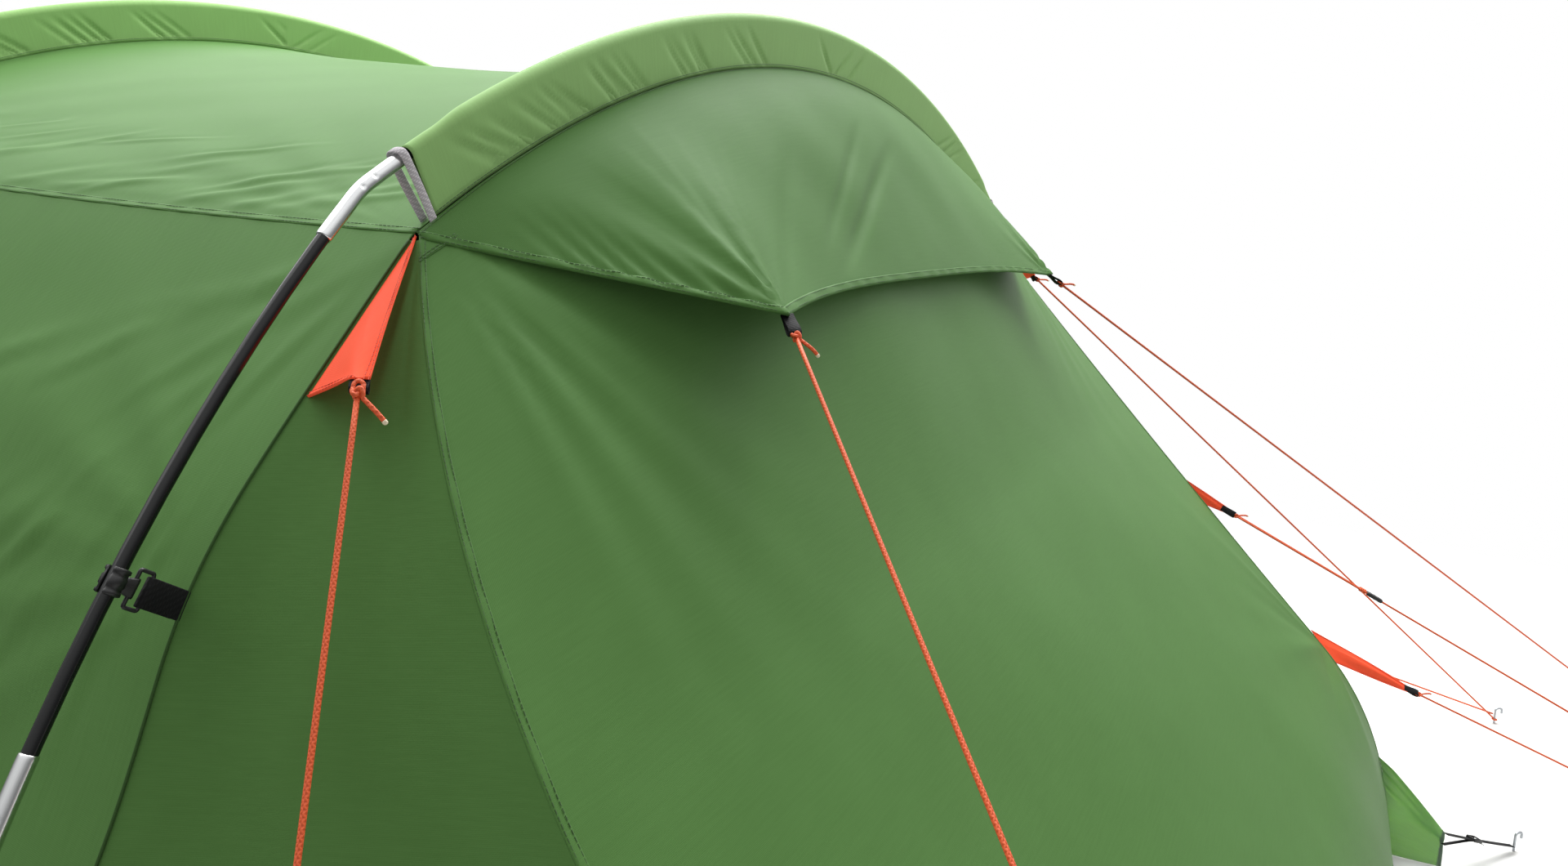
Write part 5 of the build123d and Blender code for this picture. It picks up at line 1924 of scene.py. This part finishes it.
@dataclass
class Poles:
    """The rods, ferrules, elbows, feet and clips of both arches."""

    form: Form
    finish: Finishes
    ferrule: float = 0.0146
    ferrule_length: float = 0.090
    arm: float = 0.064
    bend_radius: float = 0.110
    overlap: float = 0.038
    facets: int = 56
    clip_heights: tuple = (1.207, 0.760)

    def punched(self, path: Array, dents: tuple, hint: Array) -> Grid:
        """A drawn tube with turned-in ends and small punched dents.

        Args:
            path: The line that it follows.
            dents: For each dent its share along the tube and its angle round it.
            hint: The way of angle 0.

        Returns:
            The tube's grid.
        """
        run = lengths(path)
        ends = np.exp(-run / 0.0012) + np.exp(-(run[-1] - run) / 0.0012)
        grid = tube(path, self.ferrule / 2 * (1 - 0.05 * ends), self.facets, hint)
        turn = np.linspace(0, 2 * math.pi, self.facets, endpoint=False)
        first, second = frames(path, hint)
        away = np.cos(turn)[:, None] * first[:, None] + np.sin(turn)[:, None] * second[:, None]
        for share, angle in dents:
            off = (turn - angle + math.pi) % (2 * math.pi) - math.pi
            gap = np.hypot(run[:, None] - share * run[-1], off[None] * self.ferrule / 2)
            dent = 0.0013 * np.exp(-((gap / 0.0024) ** 2))
            grid.points -= away * dent[..., None]
        return grid

    def elbow_path(self, arch: Arch) -> Array:
        """The middle line of an arch's right elbow.

        Args:
            arch: The arch.

        Returns:
            The points of the line.
        """
        ends = [
            arch.roof.at(arch.bend_angle - self.arm / arch.roof_radius),
            arch.roof.at(arch.bend_angle),
            arch.leg.at(arch.leg_start + self.arm / arch.leg.radius),
        ]
        way_in, way_out = unit(ends[1] - ends[0]), unit(ends[2] - ends[1])
        radius = self.bend_radius
        cut = radius * math.tan(math.acos(float(way_in @ way_out)) / 2)
        middle = radius * (1 / math.cos(math.atan(cut / radius)) - 1)
        bend = arc_through(
            ends[1] - way_in * cut,
            ends[1] + unit(way_out - way_in) * middle,
            ends[1] + way_out * cut,
            24,
        )
        return along(np.concatenate([ends[:1], bend, ends[2:]]), np.linspace(0, 1, 190))

    def ferrules(self, arch: Arch, name: str) -> None:
        """The straight ferrules and the two elbows of an arch.

        Args:
            arch: The arch.
            name: Its name.
        """
        inset = self.arm - self.overlap
        roof_end = arch.bend_angle - inset / arch.roof_radius
        leg_top = arch.leg_start + inset / arch.leg.radius
        spans = [(arch.roof, -roof_end + 2 * roof_end * k / 4, 1) for k in (1, 2, 3)]
        step = (arch.leg_end - leg_top) / 3
        spans += [(arch.leg, leg_top + step * k, side) for k in (1, 2) for side in SIDES]
        parts = []
        for arc, middle, side in spans:
            half = self.ferrule_length / arc.radius / 2
            path = side_of(arc.at(np.linspace(middle - half, middle + half, 100)), side)
            dents = ((0.52, -2.0), (0.52, 1.2)) if arc is arch.leg else ((0.5, 1.6),)
            parts.append(self.punched(path, dents, AHEAD))
        straight = make(f"{name}_ferrule_set", parts)
        place_piece(straight, self.finish.ferrule, (f"{name}_ferrules",))
        for side, label in SIDES.items():
            path = side_of(self.elbow_path(arch), side)
            inner = math.pi + 0.5 if side < 0 else 0.5
            tubes = [self.punched(path, ((0.36, inner), (0.50, inner)), AHEAD)]
            bent = make(f"{name}_elbow_tube_{label}", tubes)
            place_piece(bent, self.finish.ferrule, (f"{name}_elbow_{label}",))

    def rods(self, name: str) -> None:
        """Gives the rods, feet and shock cord of an arch their finishes.

        Args:
            name: The arch's name.
        """
        nodes = frame["nodes"]
        for part in ("roof_rods", "leg_rods_left", "leg_rods_right"):
            self.dress(nodes[f"{name}_{part}"], self.finish.rod)
        self.dress(nodes[f"{name}_pole_feet"], self.finish.steel)
        self.dress(nodes[f"{name}_shock_cord"], self.finish.elastic)

    @staticmethod
    def dress(node: Object, material: Material) -> None:
        """Puts a finish on a CAD node."""
        node.data.materials.clear()
        node.data.materials.append(material)

    def loops(self, arch: Arch, name: str) -> None:
        """The grey webbing loops over the elbows, at the ends of a sleeve.

        Args:
            arch: The arch.
            name: Its name.
        """
        parts = []
        end = math.asin(arch.sleeve_half / arch.roof_radius) + 0.011 / arch.roof_radius
        route = [(-0.066, -0.0065), (-0.036, -0.0088), (-0.006, -0.0095), (0.0085, -0.0095)]
        route += [(0.0105, 0.0)] + [(a, -b) for a, b in reversed(route)]
        out, tangent = self.ways(end)
        points = np.array([arch.roof.at(end) + out * a + AHEAD * b for a, b in route])
        for side in SIDES:
            path = smooth_line(side_of(points, side), 70)
            parts.append(ribbon(path, side_of(tangent, side), 0.0105, 0.0018))
        piece = make(f"{name}_loop_tapes", parts)
        place_piece(piece, self.finish.grey_web, (f"{name}_sleeve_loops",))

    @staticmethod
    def ways(angle: float) -> tuple[Array, Array]:
        """The ways out from an arc and along it, at an angle."""
        sine, cosine = math.sin(angle), math.cos(angle)
        return np.array([sine, 0, cosine]), np.array([cosine, 0, -sine])

    def clips(self) -> None:
        """The pole clips, their wire rings and the straps to the cloth."""
        shells, rings, straps = [], [], []
        for arch in (self.form.rear, self.form.front):
            for height in self.clip_heights:
                angle = float(arch.leg.angle_at(height))
                spot = arch.leg.at(angle), *self.ways(angle)
                for side in SIDES:
                    clip = Clip(*(side_of(v, side) for v in spot))
                    shells += clip.shell()
                    rings.append(clip.ring())
                    straps.append(clip.strap())
        shell, ring = make("pole_clip_set", shells), make("clip_rings", rings)
        place_piece(shell, self.finish.plastic, ("pole_clips",))
        place_piece(ring, self.finish.plastic)
        strap = make("clip_strap_set", straps)
        place_piece(strap, self.finish.black_web, ("clip_straps",))

    def build(self) -> None:
        """Dresses both arches."""
        for arch, name in ((self.form.rear, "rear"), (self.form.front, "front")):
            self.rods(name)
            self.ferrules(arch, name)
            self.loops(arch, name)
        self.clips()
        self.dress(frame["nodes"]["ground_pegs"], self.finish.steel)


@dataclass
class GuyPoint:
    """A guyed point: the tip that is pulled, the way of its line, and what is tied there."""

    name: str
    tip: Array
    peg: Array
    tail: Array
    cloth_normal: Array = (0.0, 0.0, 1.0)
    cord_d: float = 0.005
    peg_d: float = 0.006
    stand: float = 0.0
    tab_length: float = 0.030
    knot_d: float = 0.013
    gap: float = 0.0005

    def __post_init__(self) -> None:
        """Works out where the tab, knot and line lie."""
        self.tip = np.asarray(self.tip, float)
        self.foot = np.asarray(self.peg, float) + PEG_HOLD
        self.turn = self.peg_d / 2 + self.cord_d / 2
        self.way = unit(self.foot - self.tip)
        stop = (self.turn + self.gap) / math.hypot(self.way[0], self.way[1])
        self.end = self.foot - self.way * stop
        self.tab_end = self.tip + self.way * (self.gap + self.tab_length - self.stand)
        self.knot = self.tab_end + self.way * (self.gap + self.knot_d / 2)
        self.start = self.knot + self.way * (self.knot_d / 2 + self.gap / 2)
        self.side = unit(np.cross(self.way, np.asarray(self.cloth_normal, float)))
        self.up = np.cross(self.side, self.way)

    def tab(self) -> Grid:
        """The webbing loop sewn into the tip.

        Returns:
            The loop's grid.
        """
        route = [(0.0, 0.0010), (0.26, 0.0012), (0.51, 0.0030), (0.77, 0.0046), (0.96, 0.0036)]
        route += [(1.0, 0.0)] + [(a, -b) for a, b in reversed(route)]
        behind, first = (-0.0040, 0.0025) if self.stand else (0.0, -0.0040)
        reach = 0.035 - self.stand - first
        points = [
            self.tip + self.way * (reach * a + first) + self.up * (b + behind) for a, b in route
        ]
        return ribbon(smooth_line(np.array(points), 60), self.side, 0.016, 0.0016)

    def knot_parts(self) -> list[Grid]:
        """The overhand knot and the bight through the loop.

        Returns:
            Their two grids.
        """
        t = np.linspace(0, 2 * math.pi, 120)[:, None]
        x = np.sin(t) + 2 * np.sin(2 * t)
        y = np.cos(t) - 2 * np.cos(2 * t)
        across = (self.side * x + self.up * y) * 0.0016
        knot = tube(self.knot + across - self.way * (np.sin(3 * t) * 0.0034), 0.0021, 10)
        bight = [(0.0, 0.0035), (-0.008, 0.0050), (-0.0125, 0.0), (-0.008, -0.0050), (0.0, -0.0035)]
        route = np.array([self.knot + self.way * a + self.side * b for a, b in bight])
        return [knot, tube(smooth_line(route, 40), 0.0022, 10)]

    def tail_path(self) -> Array:
        """The line's short loose end beyond the knot.

        Returns:
            The points of its middle.
        """
        way = unit(np.asarray(self.tail, float))
        # How far each point is along the loose end, along the line and down.
        steps = ((0.0, 0.0, 0.0), (0.008, 0.004, 0.0), (0.020, 0.010, 0.0), (0.025, 0.010, 0.004))
        route = [self.knot + way * a + self.way * b - np.array([0, 0, c]) for a, b, c in steps]
        return smooth_line(np.array(route), 36)

    def peg_loop(self) -> Grid:
        """The turn of line round the peg.

        Returns:
            The turn's grid.
        """
        t = np.linspace(0, 2 * math.pi, 40)
        ring = np.stack([np.cos(t) * self.turn, np.sin(t) * self.turn, 0.001 * np.sin(t)], -1)
        return tube(self.foot + ring, self.cord_d / 2 * 0.96, 10)


@dataclass
class GuyLines:
    """The orange patches, webbing tabs, knots and guy lines, with the line runner."""

    form: Form
    finish: Finishes
    sewing: Stitching
    upper_peg: tuple = (1.400, -1.937, 0)
    lower_peg: tuple = (1.445, -1.692, 0)
    shoulder_pegs: tuple = ((-1.950, -0.623, 0), (1.900, -1.360, 0))
    hood_pegs: tuple = ((-2.150, -1.725, 0), (2.150, -1.726, 0))
    shoulder_tip: tuple = (1.122, -0.086, 1.353)
    shoulder_stand: float = 0.018
    runner_share: float = 0.26
    leg_eye: float = 0.440
    leg_hold: float = 0.015
    near_tail: tuple = (0.42, -0.78, -0.45)
    far_tail: tuple = (0.5, -0.6, 0.25)

    def __post_init__(self) -> None:
        """Places the guyed points as the CAD model has them."""
        form, near, far = self.form, self.near_tail, self.far_tail
        seam = form.upper_seam
        before, middle, after = along(seam, np.array([0.648, 0.65, 0.652]))
        slope = unit(after - before)
        upper, upper_tip = self.patch_on_seam(middle, slope, 0.090, 0.080, self.upper_peg)
        knee = np.array(form.seam_knee)
        slope = unit(unit(seam[-1] - seam[-2]) + unit(np.array(form.seam_hip) - knee))
        lower, lower_tip = self.patch_on_seam(knee, slope, 0.086, 0.235, self.lower_peg)
        top = form.rear.shoulder + np.array([0.001, -0.004, -0.002])
        shoulder = np.stack([top, np.array([1.112, -0.005, 1.325])])
        self.bases = {"shoulder": shoulder, "upper": upper, "lower": lower}
        inwards = (-1, -1, 0.5)
        at_upper = self.square_to(upper, upper_tip, self.upper_peg, inwards)
        at_lower = self.square_to(lower, lower_tip, self.lower_peg, inwards)
        self.points = {}
        settings = zip(SIDES.items(), self.hood_pegs, (near, far))
        for (side, label), peg, tail in settings:
            tip = side_of(form.hood_tip, side)
            self.points[f"hood_guy_{label}"] = GuyPoint(f"hood_{label}", tip, peg, tail)
        settings = zip(SIDES.items(), self.shoulder_pegs, (near, far))
        for (side, label), peg, tail in settings:
            tip = side_of(self.shoulder_tip, side)
            square = self.square_to(side_of(shoulder, side), tip, peg, (side, -1, 0.5))
            self.points[f"shoulder_guy_{label}"] = GuyPoint(
                f"shoulder_{label}", tip, peg, tail, square, stand=self.shoulder_stand
            )
        self.bare = []
        corners = (
            ("upper", upper_tip, self.upper_peg, at_upper),
            ("lower", lower_tip, self.lower_peg, at_lower),
        )
        for label, tip, peg, square in corners:
            right = GuyPoint(f"corner_{label}", tip, peg, far, square)
            self.points[f"corner_guy_{label}"] = right
            placed = (side_of(p, -1) for p in (tip, peg))
            left = GuyPoint(f"corner_{label}_left", *placed, near, side_of(square, -1))
            self.bare.append(left)

    @staticmethod
    def square_to(base: Array, tip: Array, peg: tuple, towards: tuple) -> Array:
        """The direction square to a patch's base and to its line.

        Args:
            base: The ends of the patch's base.
            tip: The patch's tip.
            peg: The peg that its line runs to.
            towards: About which way it looks.

        Returns:
            The direction.
        """
        square = unit(np.cross(base[1] - base[0], np.asarray(peg, float) - tip))
        return square * np.sign(square @ np.asarray(towards, float))

    @staticmethod
    def patch_on_seam(
        middle: Array, slope: Array, base: float, reach: float, peg: tuple
    ) -> tuple[Array, Array]:
        """A patch on the right corner seam.

        Args:
            middle: The middle of its base.
            slope: The seam's direction there.
            base: The length of its base.
            reach: How far its tip stands out.
            peg: The peg that its line runs to.

        Returns:
            The two ends of its base, and its tip.
        """
        way = unit(np.asarray(peg, float) - middle)
        ends = np.stack([middle - slope * base / 2, middle + slope * base / 2])
        return ends - way * 0.004, middle + way * reach

    def patch(
        self, name: str, node: str, base: Array, tip: Array, way: Array, fold: float, bend: tuple
    ) -> None:
        """One orange patch: a hemmed triangle, creased where the line pulls it.

        Args:
            name: The piece's name.
            node: The CAD node that it stands for.
            base: The ends of the edge that is sewn to the tent.
            tip: The tip that the webbing tab is sewn to.
            way: The way that its line pulls.
            fold: The height of its creases.
            bend: The way that it bellies.
        """
        u = np.linspace(0, 1, 60)[:, None]
        v = np.linspace(0, 1, 34)[None, :]
        foot = mix(base[0], base[1], v)
        # The tip is cut square to the pull, as wide as its webbing tab.
        across = base[1] - base[0]
        across = unit(across - way * (across @ way))
        end = tip + way * 0.005 + across * ((2 * v - 1) * 0.0085)[..., None]
        grid = mix(foot, end, u)
        out = unit(np.cross(base[1] - base[0], tip - base[0]))
        if out @ np.asarray(bend, float) < 0:
            out = -out
        crease = fold * np.sin(math.pi * u) * (1 - 2 * np.abs(v - 0.42))
        crease = crease + fold * 0.35 * np.sin(math.pi * u) * np.sin(v * 11 + 1.0) * u
        grid = grid + out * crease[..., None]
        panel = Panel(name, grid, node, self.finish.patch, Slot.PATCH)
        panel.inside, panel.thickness = tuple(grid.mean((0, 1)) - out * 0.3), 0.0014
        panel.rests_on = ("rear_wall",)
        for edge in (Edge.LEFT, Edge.RIGHT):
            panel.seam(edge, 0.006, self.sewing, 0.0005)
        panel.build()

    def patches(self) -> None:
        """All six patches."""
        for side, label in SIDES.items():
            point = self.points[f"shoulder_guy_{label}"]
            name, node = f"shoulder_patch_cloth_{label}", f"shoulder_patch_{label}"
            base = side_of(self.bases["shoulder"], side)
            self.patch(name, node, base, point.tip, point.way, 0.004, (side, -1, 0.2))
            for where, fold in (("upper", 0.004), ("lower", 0.010)):
                point = self.points[f"corner_guy_{where}"]
                name, node = f"{where}_corner_patch_{label}", f"{where}_corner_patches"
                spot = [side_of(v, side) for v in (self.bases[where], point.tip, point.way)]
                self.patch(name, node, *spot, fold, (-side, -1, 0.5))

    def line(self, node: str, start: Array, end: Array, pieces: list) -> None:
        """One tight guy line.

        Args:
            node: The CAD node that it stands for.
            start: Where it leaves the tent.
            end: Where it reaches its peg.
            pieces: The pieces on it; not used.
        """
        way = unit(end - start)
        path = smooth_line(np.stack([start, start + way * 0.030, end]), 40)
        piece = make(f"{node}_line", [tube(path, GuyPoint.cord_d / 2, 12)])
        place_piece(piece, self.finish.cord, (node,))

    def runner(self) -> None:
        """The runner on the upper corner line, and the strand that comes back from it."""
        upper = self.points["corner_guy_upper"]
        middle = upper.start + (upper.end - upper.start) * self.runner_share
        turn = axes_at(middle, upper.way)
        y = np.array(turn.col[1][:3])
        shapes = [((0.042, 0.017, 0.009), 0.0025, (0, 0.0038, 0))]
        shapes += [((0.003, 0.0178, 0.0098), 0.0008, (x, 0.0038, 0)) for x in (-0.012, 0.0, 0.012)]
        piece = assemble("line_runner_block", turn, shapes)
        place_piece(piece, self.finish.plastic, ("line_runner",), "runner")
        around = np.linspace(0, 2 * math.pi, 28)[:, None]
        up = np.cross(upper.way, y)
        ring = np.cos(around) * y * 0.0075 + np.sin(around) * up * 0.0042 + y * 0.0038
        steps = [-0.026 - 0.0042 * k for k in range(4)]
        coil = [tube(middle + upper.way * step + ring, 0.0019, 8) for step in steps]
        wrap = make("runner_wrap", coil)
        place_piece(wrap, self.finish.cord, body="runner")
        start = upper.tab_end + y * 0.013 + upper.way * 0.0005
        end = middle - upper.way * 0.0215 + y * 0.0076
        self.line("corner_guy_strand", start, end, [])

    def leg_guy(self) -> None:
        """The line from the right rear leg to the shoulder's peg, above the shoulder's own line."""
        leg = self.form.rear.leg
        eye = leg.at(float(leg.angle_at(self.leg_eye)))
        peg = np.array(self.shoulder_pegs[1]) + PEG_HOLD + np.array([0, 0, self.leg_hold])
        way = unit(peg - eye)
        shoulder = self.points["shoulder_guy_right"]
        stop = (shoulder.turn + shoulder.gap) / math.hypot(way[0], way[1])
        t = np.linspace(0, 2 * math.pi, 40)
        rings = [
            np.stack([np.cos(t) * 0.0085, np.sin(t) * 0.0085, 0 * t + dz], -1)
            for dz in (-0.0025, 0.0025)
        ]
        hitch = make("leg_hitch", [tube(eye + ring, 0.0023, 8) for ring in rings])
        place_piece(hitch, self.finish.cord)
        self.line("shoulder_guy_return", eye + way * 0.011, peg - way * stop, [hitch])

    def build(self) -> None:
        """Makes the patches, tabs, knots, lines and runner."""
        self.patches()
        tabs = make("guy_tab_loops", [p.tab() for p in (*self.points.values(), *self.bare)])
        place_piece(tabs, self.finish.black_web, ("guy_tabs",))
        for node, point in self.points.items():
            knot = make(f"{point.name}_knot", point.knot_parts())
            place_piece(knot, self.finish.cord, ("guy_knots",))
            path = point.tail_path()
            tail = make(f"{point.name}_tail", [tube(path, 0.0022, 10)])
            place_piece(tail, self.finish.cord)
            tip = path[-1] + unit(path[-1] - path[-2]) * np.linspace(-0.0008, 0.0032, 8)[:, None]
            size = 0.0024 * np.sqrt(np.clip(1 - np.linspace(-0.2, 0.97, 8) ** 4, 0.05, 1))
            seal = make(f"{point.name}_tail_end", [tube(tip, size, 10)])
            place_piece(seal, self.finish.sealed_end)
            loop = make(f"{point.name}_peg_turn", [point.peg_loop()])
            place_piece(loop, self.finish.cord)
            self.line(node, point.knot, point.end, [knot, tail, seal, loop])
        self.leg_guy()
        self.runner()
        self.sewing.build(self.finish.patch_thread)


@dataclass
class CornerStraps:
    """The straps at the rear corners, each with an adjuster."""

    finish: Finishes
    fin_tip: tuple = (0.960, -1.155, 0.086)
    fin_low: tuple = (0.960, -1.153, 0.058)
    peg: tuple = (1.118, -1.316, 0.0)
    adjuster_share: float = 0.42
    strap_width: float = 0.015
    tail_width: float = 0.010

    def build(self) -> None:
        """Makes both straps and adjusters."""
        tip, peg = np.array(self.fin_tip), np.array(self.peg) + PEG_HOLD
        way = unit(peg - tip)
        run = float(np.linalg.norm(peg - tip)) - 0.006 - 0.002 - 0.001
        start = tip + way * 0.0025
        share = np.linspace(0, 1, 50)[:, None]
        # The buckle's two sides and three bars.
        shapes = [((0.026, 0.0036, 0.008), 0.0012, (0, y, 0)) for y in (-0.0102, 0.0102)]
        bars = ((-0.0113, 0.0024), (0.0, -0.0030), (0.0113, 0.0024))
        shapes += [((0.0034, 0.022, 0.0034), 0.0010, (x, 0, z)) for x, z in bars]
        straps = []
        for side, label in SIDES.items():
            s_way, s_start = side_of(way, side), side_of(start, side)
            across = unit(np.cross(s_way, np.array([0, 0, 1.0])))
            up = np.cross(across, s_way)
            sag = np.array([0, 0, 0.002]) * np.sin(math.pi * share)
            line = s_start + s_way * (run * share) - sag
            straps.append(ribbon(line, across, self.strap_width, 0.0018))
            middle = s_start + s_way * (run * self.adjuster_share)
            low = side_of(self.fin_low, side)
            tail = [low, low + (middle - low) * 0.6, middle - up * 0.0020]
            tail.append(middle + s_way * 0.034 - up * 0.010)
            line = smooth_line(np.array(tail), 50)
            straps.append(ribbon(line, across, self.tail_width, 0.0012))
            buckle = assemble(f"strap_buckle_{label}", axes_at(middle, s_way), shapes)
            node, body = f"strap_adjuster_{label}", f"adjuster_{label}"
            place_piece(buckle, self.finish.plastic, (node,), body)
        piece = make("corner_strap_tapes", straps)
        place_piece(piece, self.finish.black_web, ("corner_straps",))


@dataclass
class Groundsheet:
    """The floor sheet, slightly rumpled."""

    finish: Finishes

    def build(self) -> None:
        """Makes the sheet."""
        y = np.linspace(-0.982, 2.287, 110)
        knots = [-0.982, 0.0, 1.385, 2.287]
        half = np.interp(y, knots, [0.912, 1.5561, 1.5561, 0.906])
        a = np.linspace(-1, 1, 110)
        x = half[:, None] * a[None]
        grid = np.stack([x, np.broadcast_to(y[:, None], x.shape), 0 * x], -1)
        fade = 1 - np.abs(a[None]) ** 8
        grid[..., 2] = 0.0026 + 0.0012 * waves(grid * np.array([1.0, 1.0, 0.0]), 0.22, 83) * fade
        grid[..., 2] = np.clip(grid[..., 2], 0.0013, 0.006)
        panel = Panel("floor_cloth", grid, "groundsheet", self.finish.groundsheet, Slot.FLOOR)
        panel.inside, panel.thickness = (0, 0.6, -5.0), 0.001
        panel.held, panel.rests_on = "laid", ("ground_pegs",)
        panel.build()


@dataclass
class Studio:
    """The pale floor, the soft light and the camera at the photograph's view."""

    place: tuple = (-1.748, -0.814, 1.472)
    yaw: float = 62.68
    pitch: float = -10.88
    focal: float = 1294.0
    image_width: float = 1920.0

    def camera(self) -> None:
        """Sets the camera."""
        data = bpy.data.cameras.new("camera")
        data.sensor_fit = "HORIZONTAL"
        data.sensor_width = 36.0
        data.lens = 36.0 * self.focal / self.image_width
        data.clip_start, data.clip_end = 0.05, 100.0
        yaw, pitch = math.radians(self.yaw), math.radians(self.pitch)
        level = math.cos(pitch)
        look = Vector((math.sin(yaw) * level, math.cos(yaw) * level, math.sin(pitch)))
        bpy.context.scene.camera = self.aimed("camera", data, self.place, look)

    @staticmethod
    def aimed(name: str, data: bpy.types.ID, place: tuple, look: Vector) -> Object:
        """A camera or a light that looks a given way.

        Args:
            name: Its name.
            data: The camera or the light.
            place: Where it stands.
            look: The way that it looks.

        Returns:
            The object, in the scene.
        """
        holder = linked(name, data)
        holder.location = place
        holder.rotation_mode = "QUATERNION"
        holder.rotation_quaternion = look.to_track_quat("-Z", "Y")
        return holder

    def lights(self) -> None:
        """Sets a broad top light, side fills and a surround that looks white behind the tent."""
        settings = (
            ("top_light", (2.4, 1.2, 5.0), (0.1, 0.2, 0.8), 3.5, 230.0),
            ("front_light", (0.5, 3.4, 5.0), (0.1, 0.3, 0.8), 4.0, 130.0),
            ("rear_light", (2.6, -0.6, 4.7), (0.1, 0.0, 0.8), 3.0, 150.0),
            ("right_fill", (4.4, -1.6, 2.6), (0.6, -0.4, 0.8), 2.4, 30.0),
            ("left_fill", (-3.0, 2.2, 4.4), (-0.6, 0.3, 1.0), 3.0, 40.0),
            ("crown_light", (-1.2, 0.5, 5.2), (-0.4, 0.0, 1.5), 2.4, 46.0),
        )
        for name, place, aim, size, power in settings:
            data = bpy.data.lights.new(name, "AREA")
            data.size = size
            data.energy = power
            self.aimed(name, data, place, Vector(aim) - Vector(place))
        world = bpy.data.worlds.new("surround")
        world.use_nodes = True
        tree = world.node_tree
        rays = add(tree, "ShaderNodeLightPath", {}).outputs
        way = add(tree, "ShaderNodeTexCoord", {}).outputs["Generated"]
        height = add(tree, "ShaderNodeSeparateXYZ", {0: way}).outputs["Z"]
        # Reflections see a bright ceiling and a darker floor, which shapes metal and poles.
        span = {0: height, 1: -0.15, 2: 0.75, 3: 0.22, 4: 1.15}
        sky = add(tree, "ShaderNodeMapRange", span, interpolation_type="SMOOTHSTEP")
        shine = add(tree, "ShaderNodeMix", {0: rays["Is Glossy Ray"], 2: 0.40, 3: sky.outputs[0]})
        level = add(tree, "ShaderNodeMix", {0: rays["Is Camera Ray"], 2: shine.outputs[0], 3: 1.0})
        tree.nodes["Background"].inputs[0].default_value = (1.0, 1.0, 1.0, 1.0)
        tree.links.new(level.outputs[0], tree.nodes["Background"].inputs[1])
        bpy.context.scene.world = world
        # A plain curve keeps the cloth's colours as they are given.
        bpy.context.scene.view_settings.view_transform = "Standard"

    def floor(self) -> None:
        """A plain pale floor."""
        steps = np.linspace(-14, 14, 8)
        x, y = np.meshgrid(steps, steps, indexing="ij")
        piece = make("floor", [Grid(np.stack([x, y, 0 * x - 0.0012], -1))], (0, 0, -5.0))
        material, tree, shader = new_material("matt_floor")
        feed(tree, shader, {"Base Color": linear("#EDEDEB"), "Roughness": 0.9})
        # The floor fades into the white surround, so that no horizon shows.
        spot = add(tree, "ShaderNodeTexCoord", {}).outputs["Object"]
        away = add(tree, "ShaderNodeVectorMath", {0: spot}, operation="LENGTH")
        span = {0: away.outputs["Value"], 1: 2.4, 2: 4.2, 3: 0.0, 4: 1.0}
        share = add(tree, "ShaderNodeMapRange", span).outputs[0]
        clear = add(tree, "ShaderNodeBsdfTransparent", {}).outputs[0]
        blend = add(tree, "ShaderNodeMixShader", {0: share, 1: shader.outputs[0], 2: clear})
        tree.links.new(blend.outputs[0], tree.nodes["Material Output"].inputs[0])
        piece.data.materials.append(material)

    def build(self) -> None:
        """Sets the stage."""
        self.camera()
        self.lights()
        self.floor()


def main() -> None:
    """Builds the tent's looks and its studio."""
    logging.basicConfig(level=logging.INFO, format="%(name)s: %(message)s")
    form, finish, sewing = Form(), Finishes(), Stitching()
    Studio().build()
    Poles(form, finish).build()
    Fly(form, finish, sewing).build()
    Door(form, finish, sewing).build()
    GuyLines(form, finish, Stitching(kind="patch_stitches", slot=Slot.PATCH)).build()
    CornerStraps(finish).build()
    Groundsheet(finish).build()
    sewing.build(finish.thread)


if __name__ == "__main__":
    main()
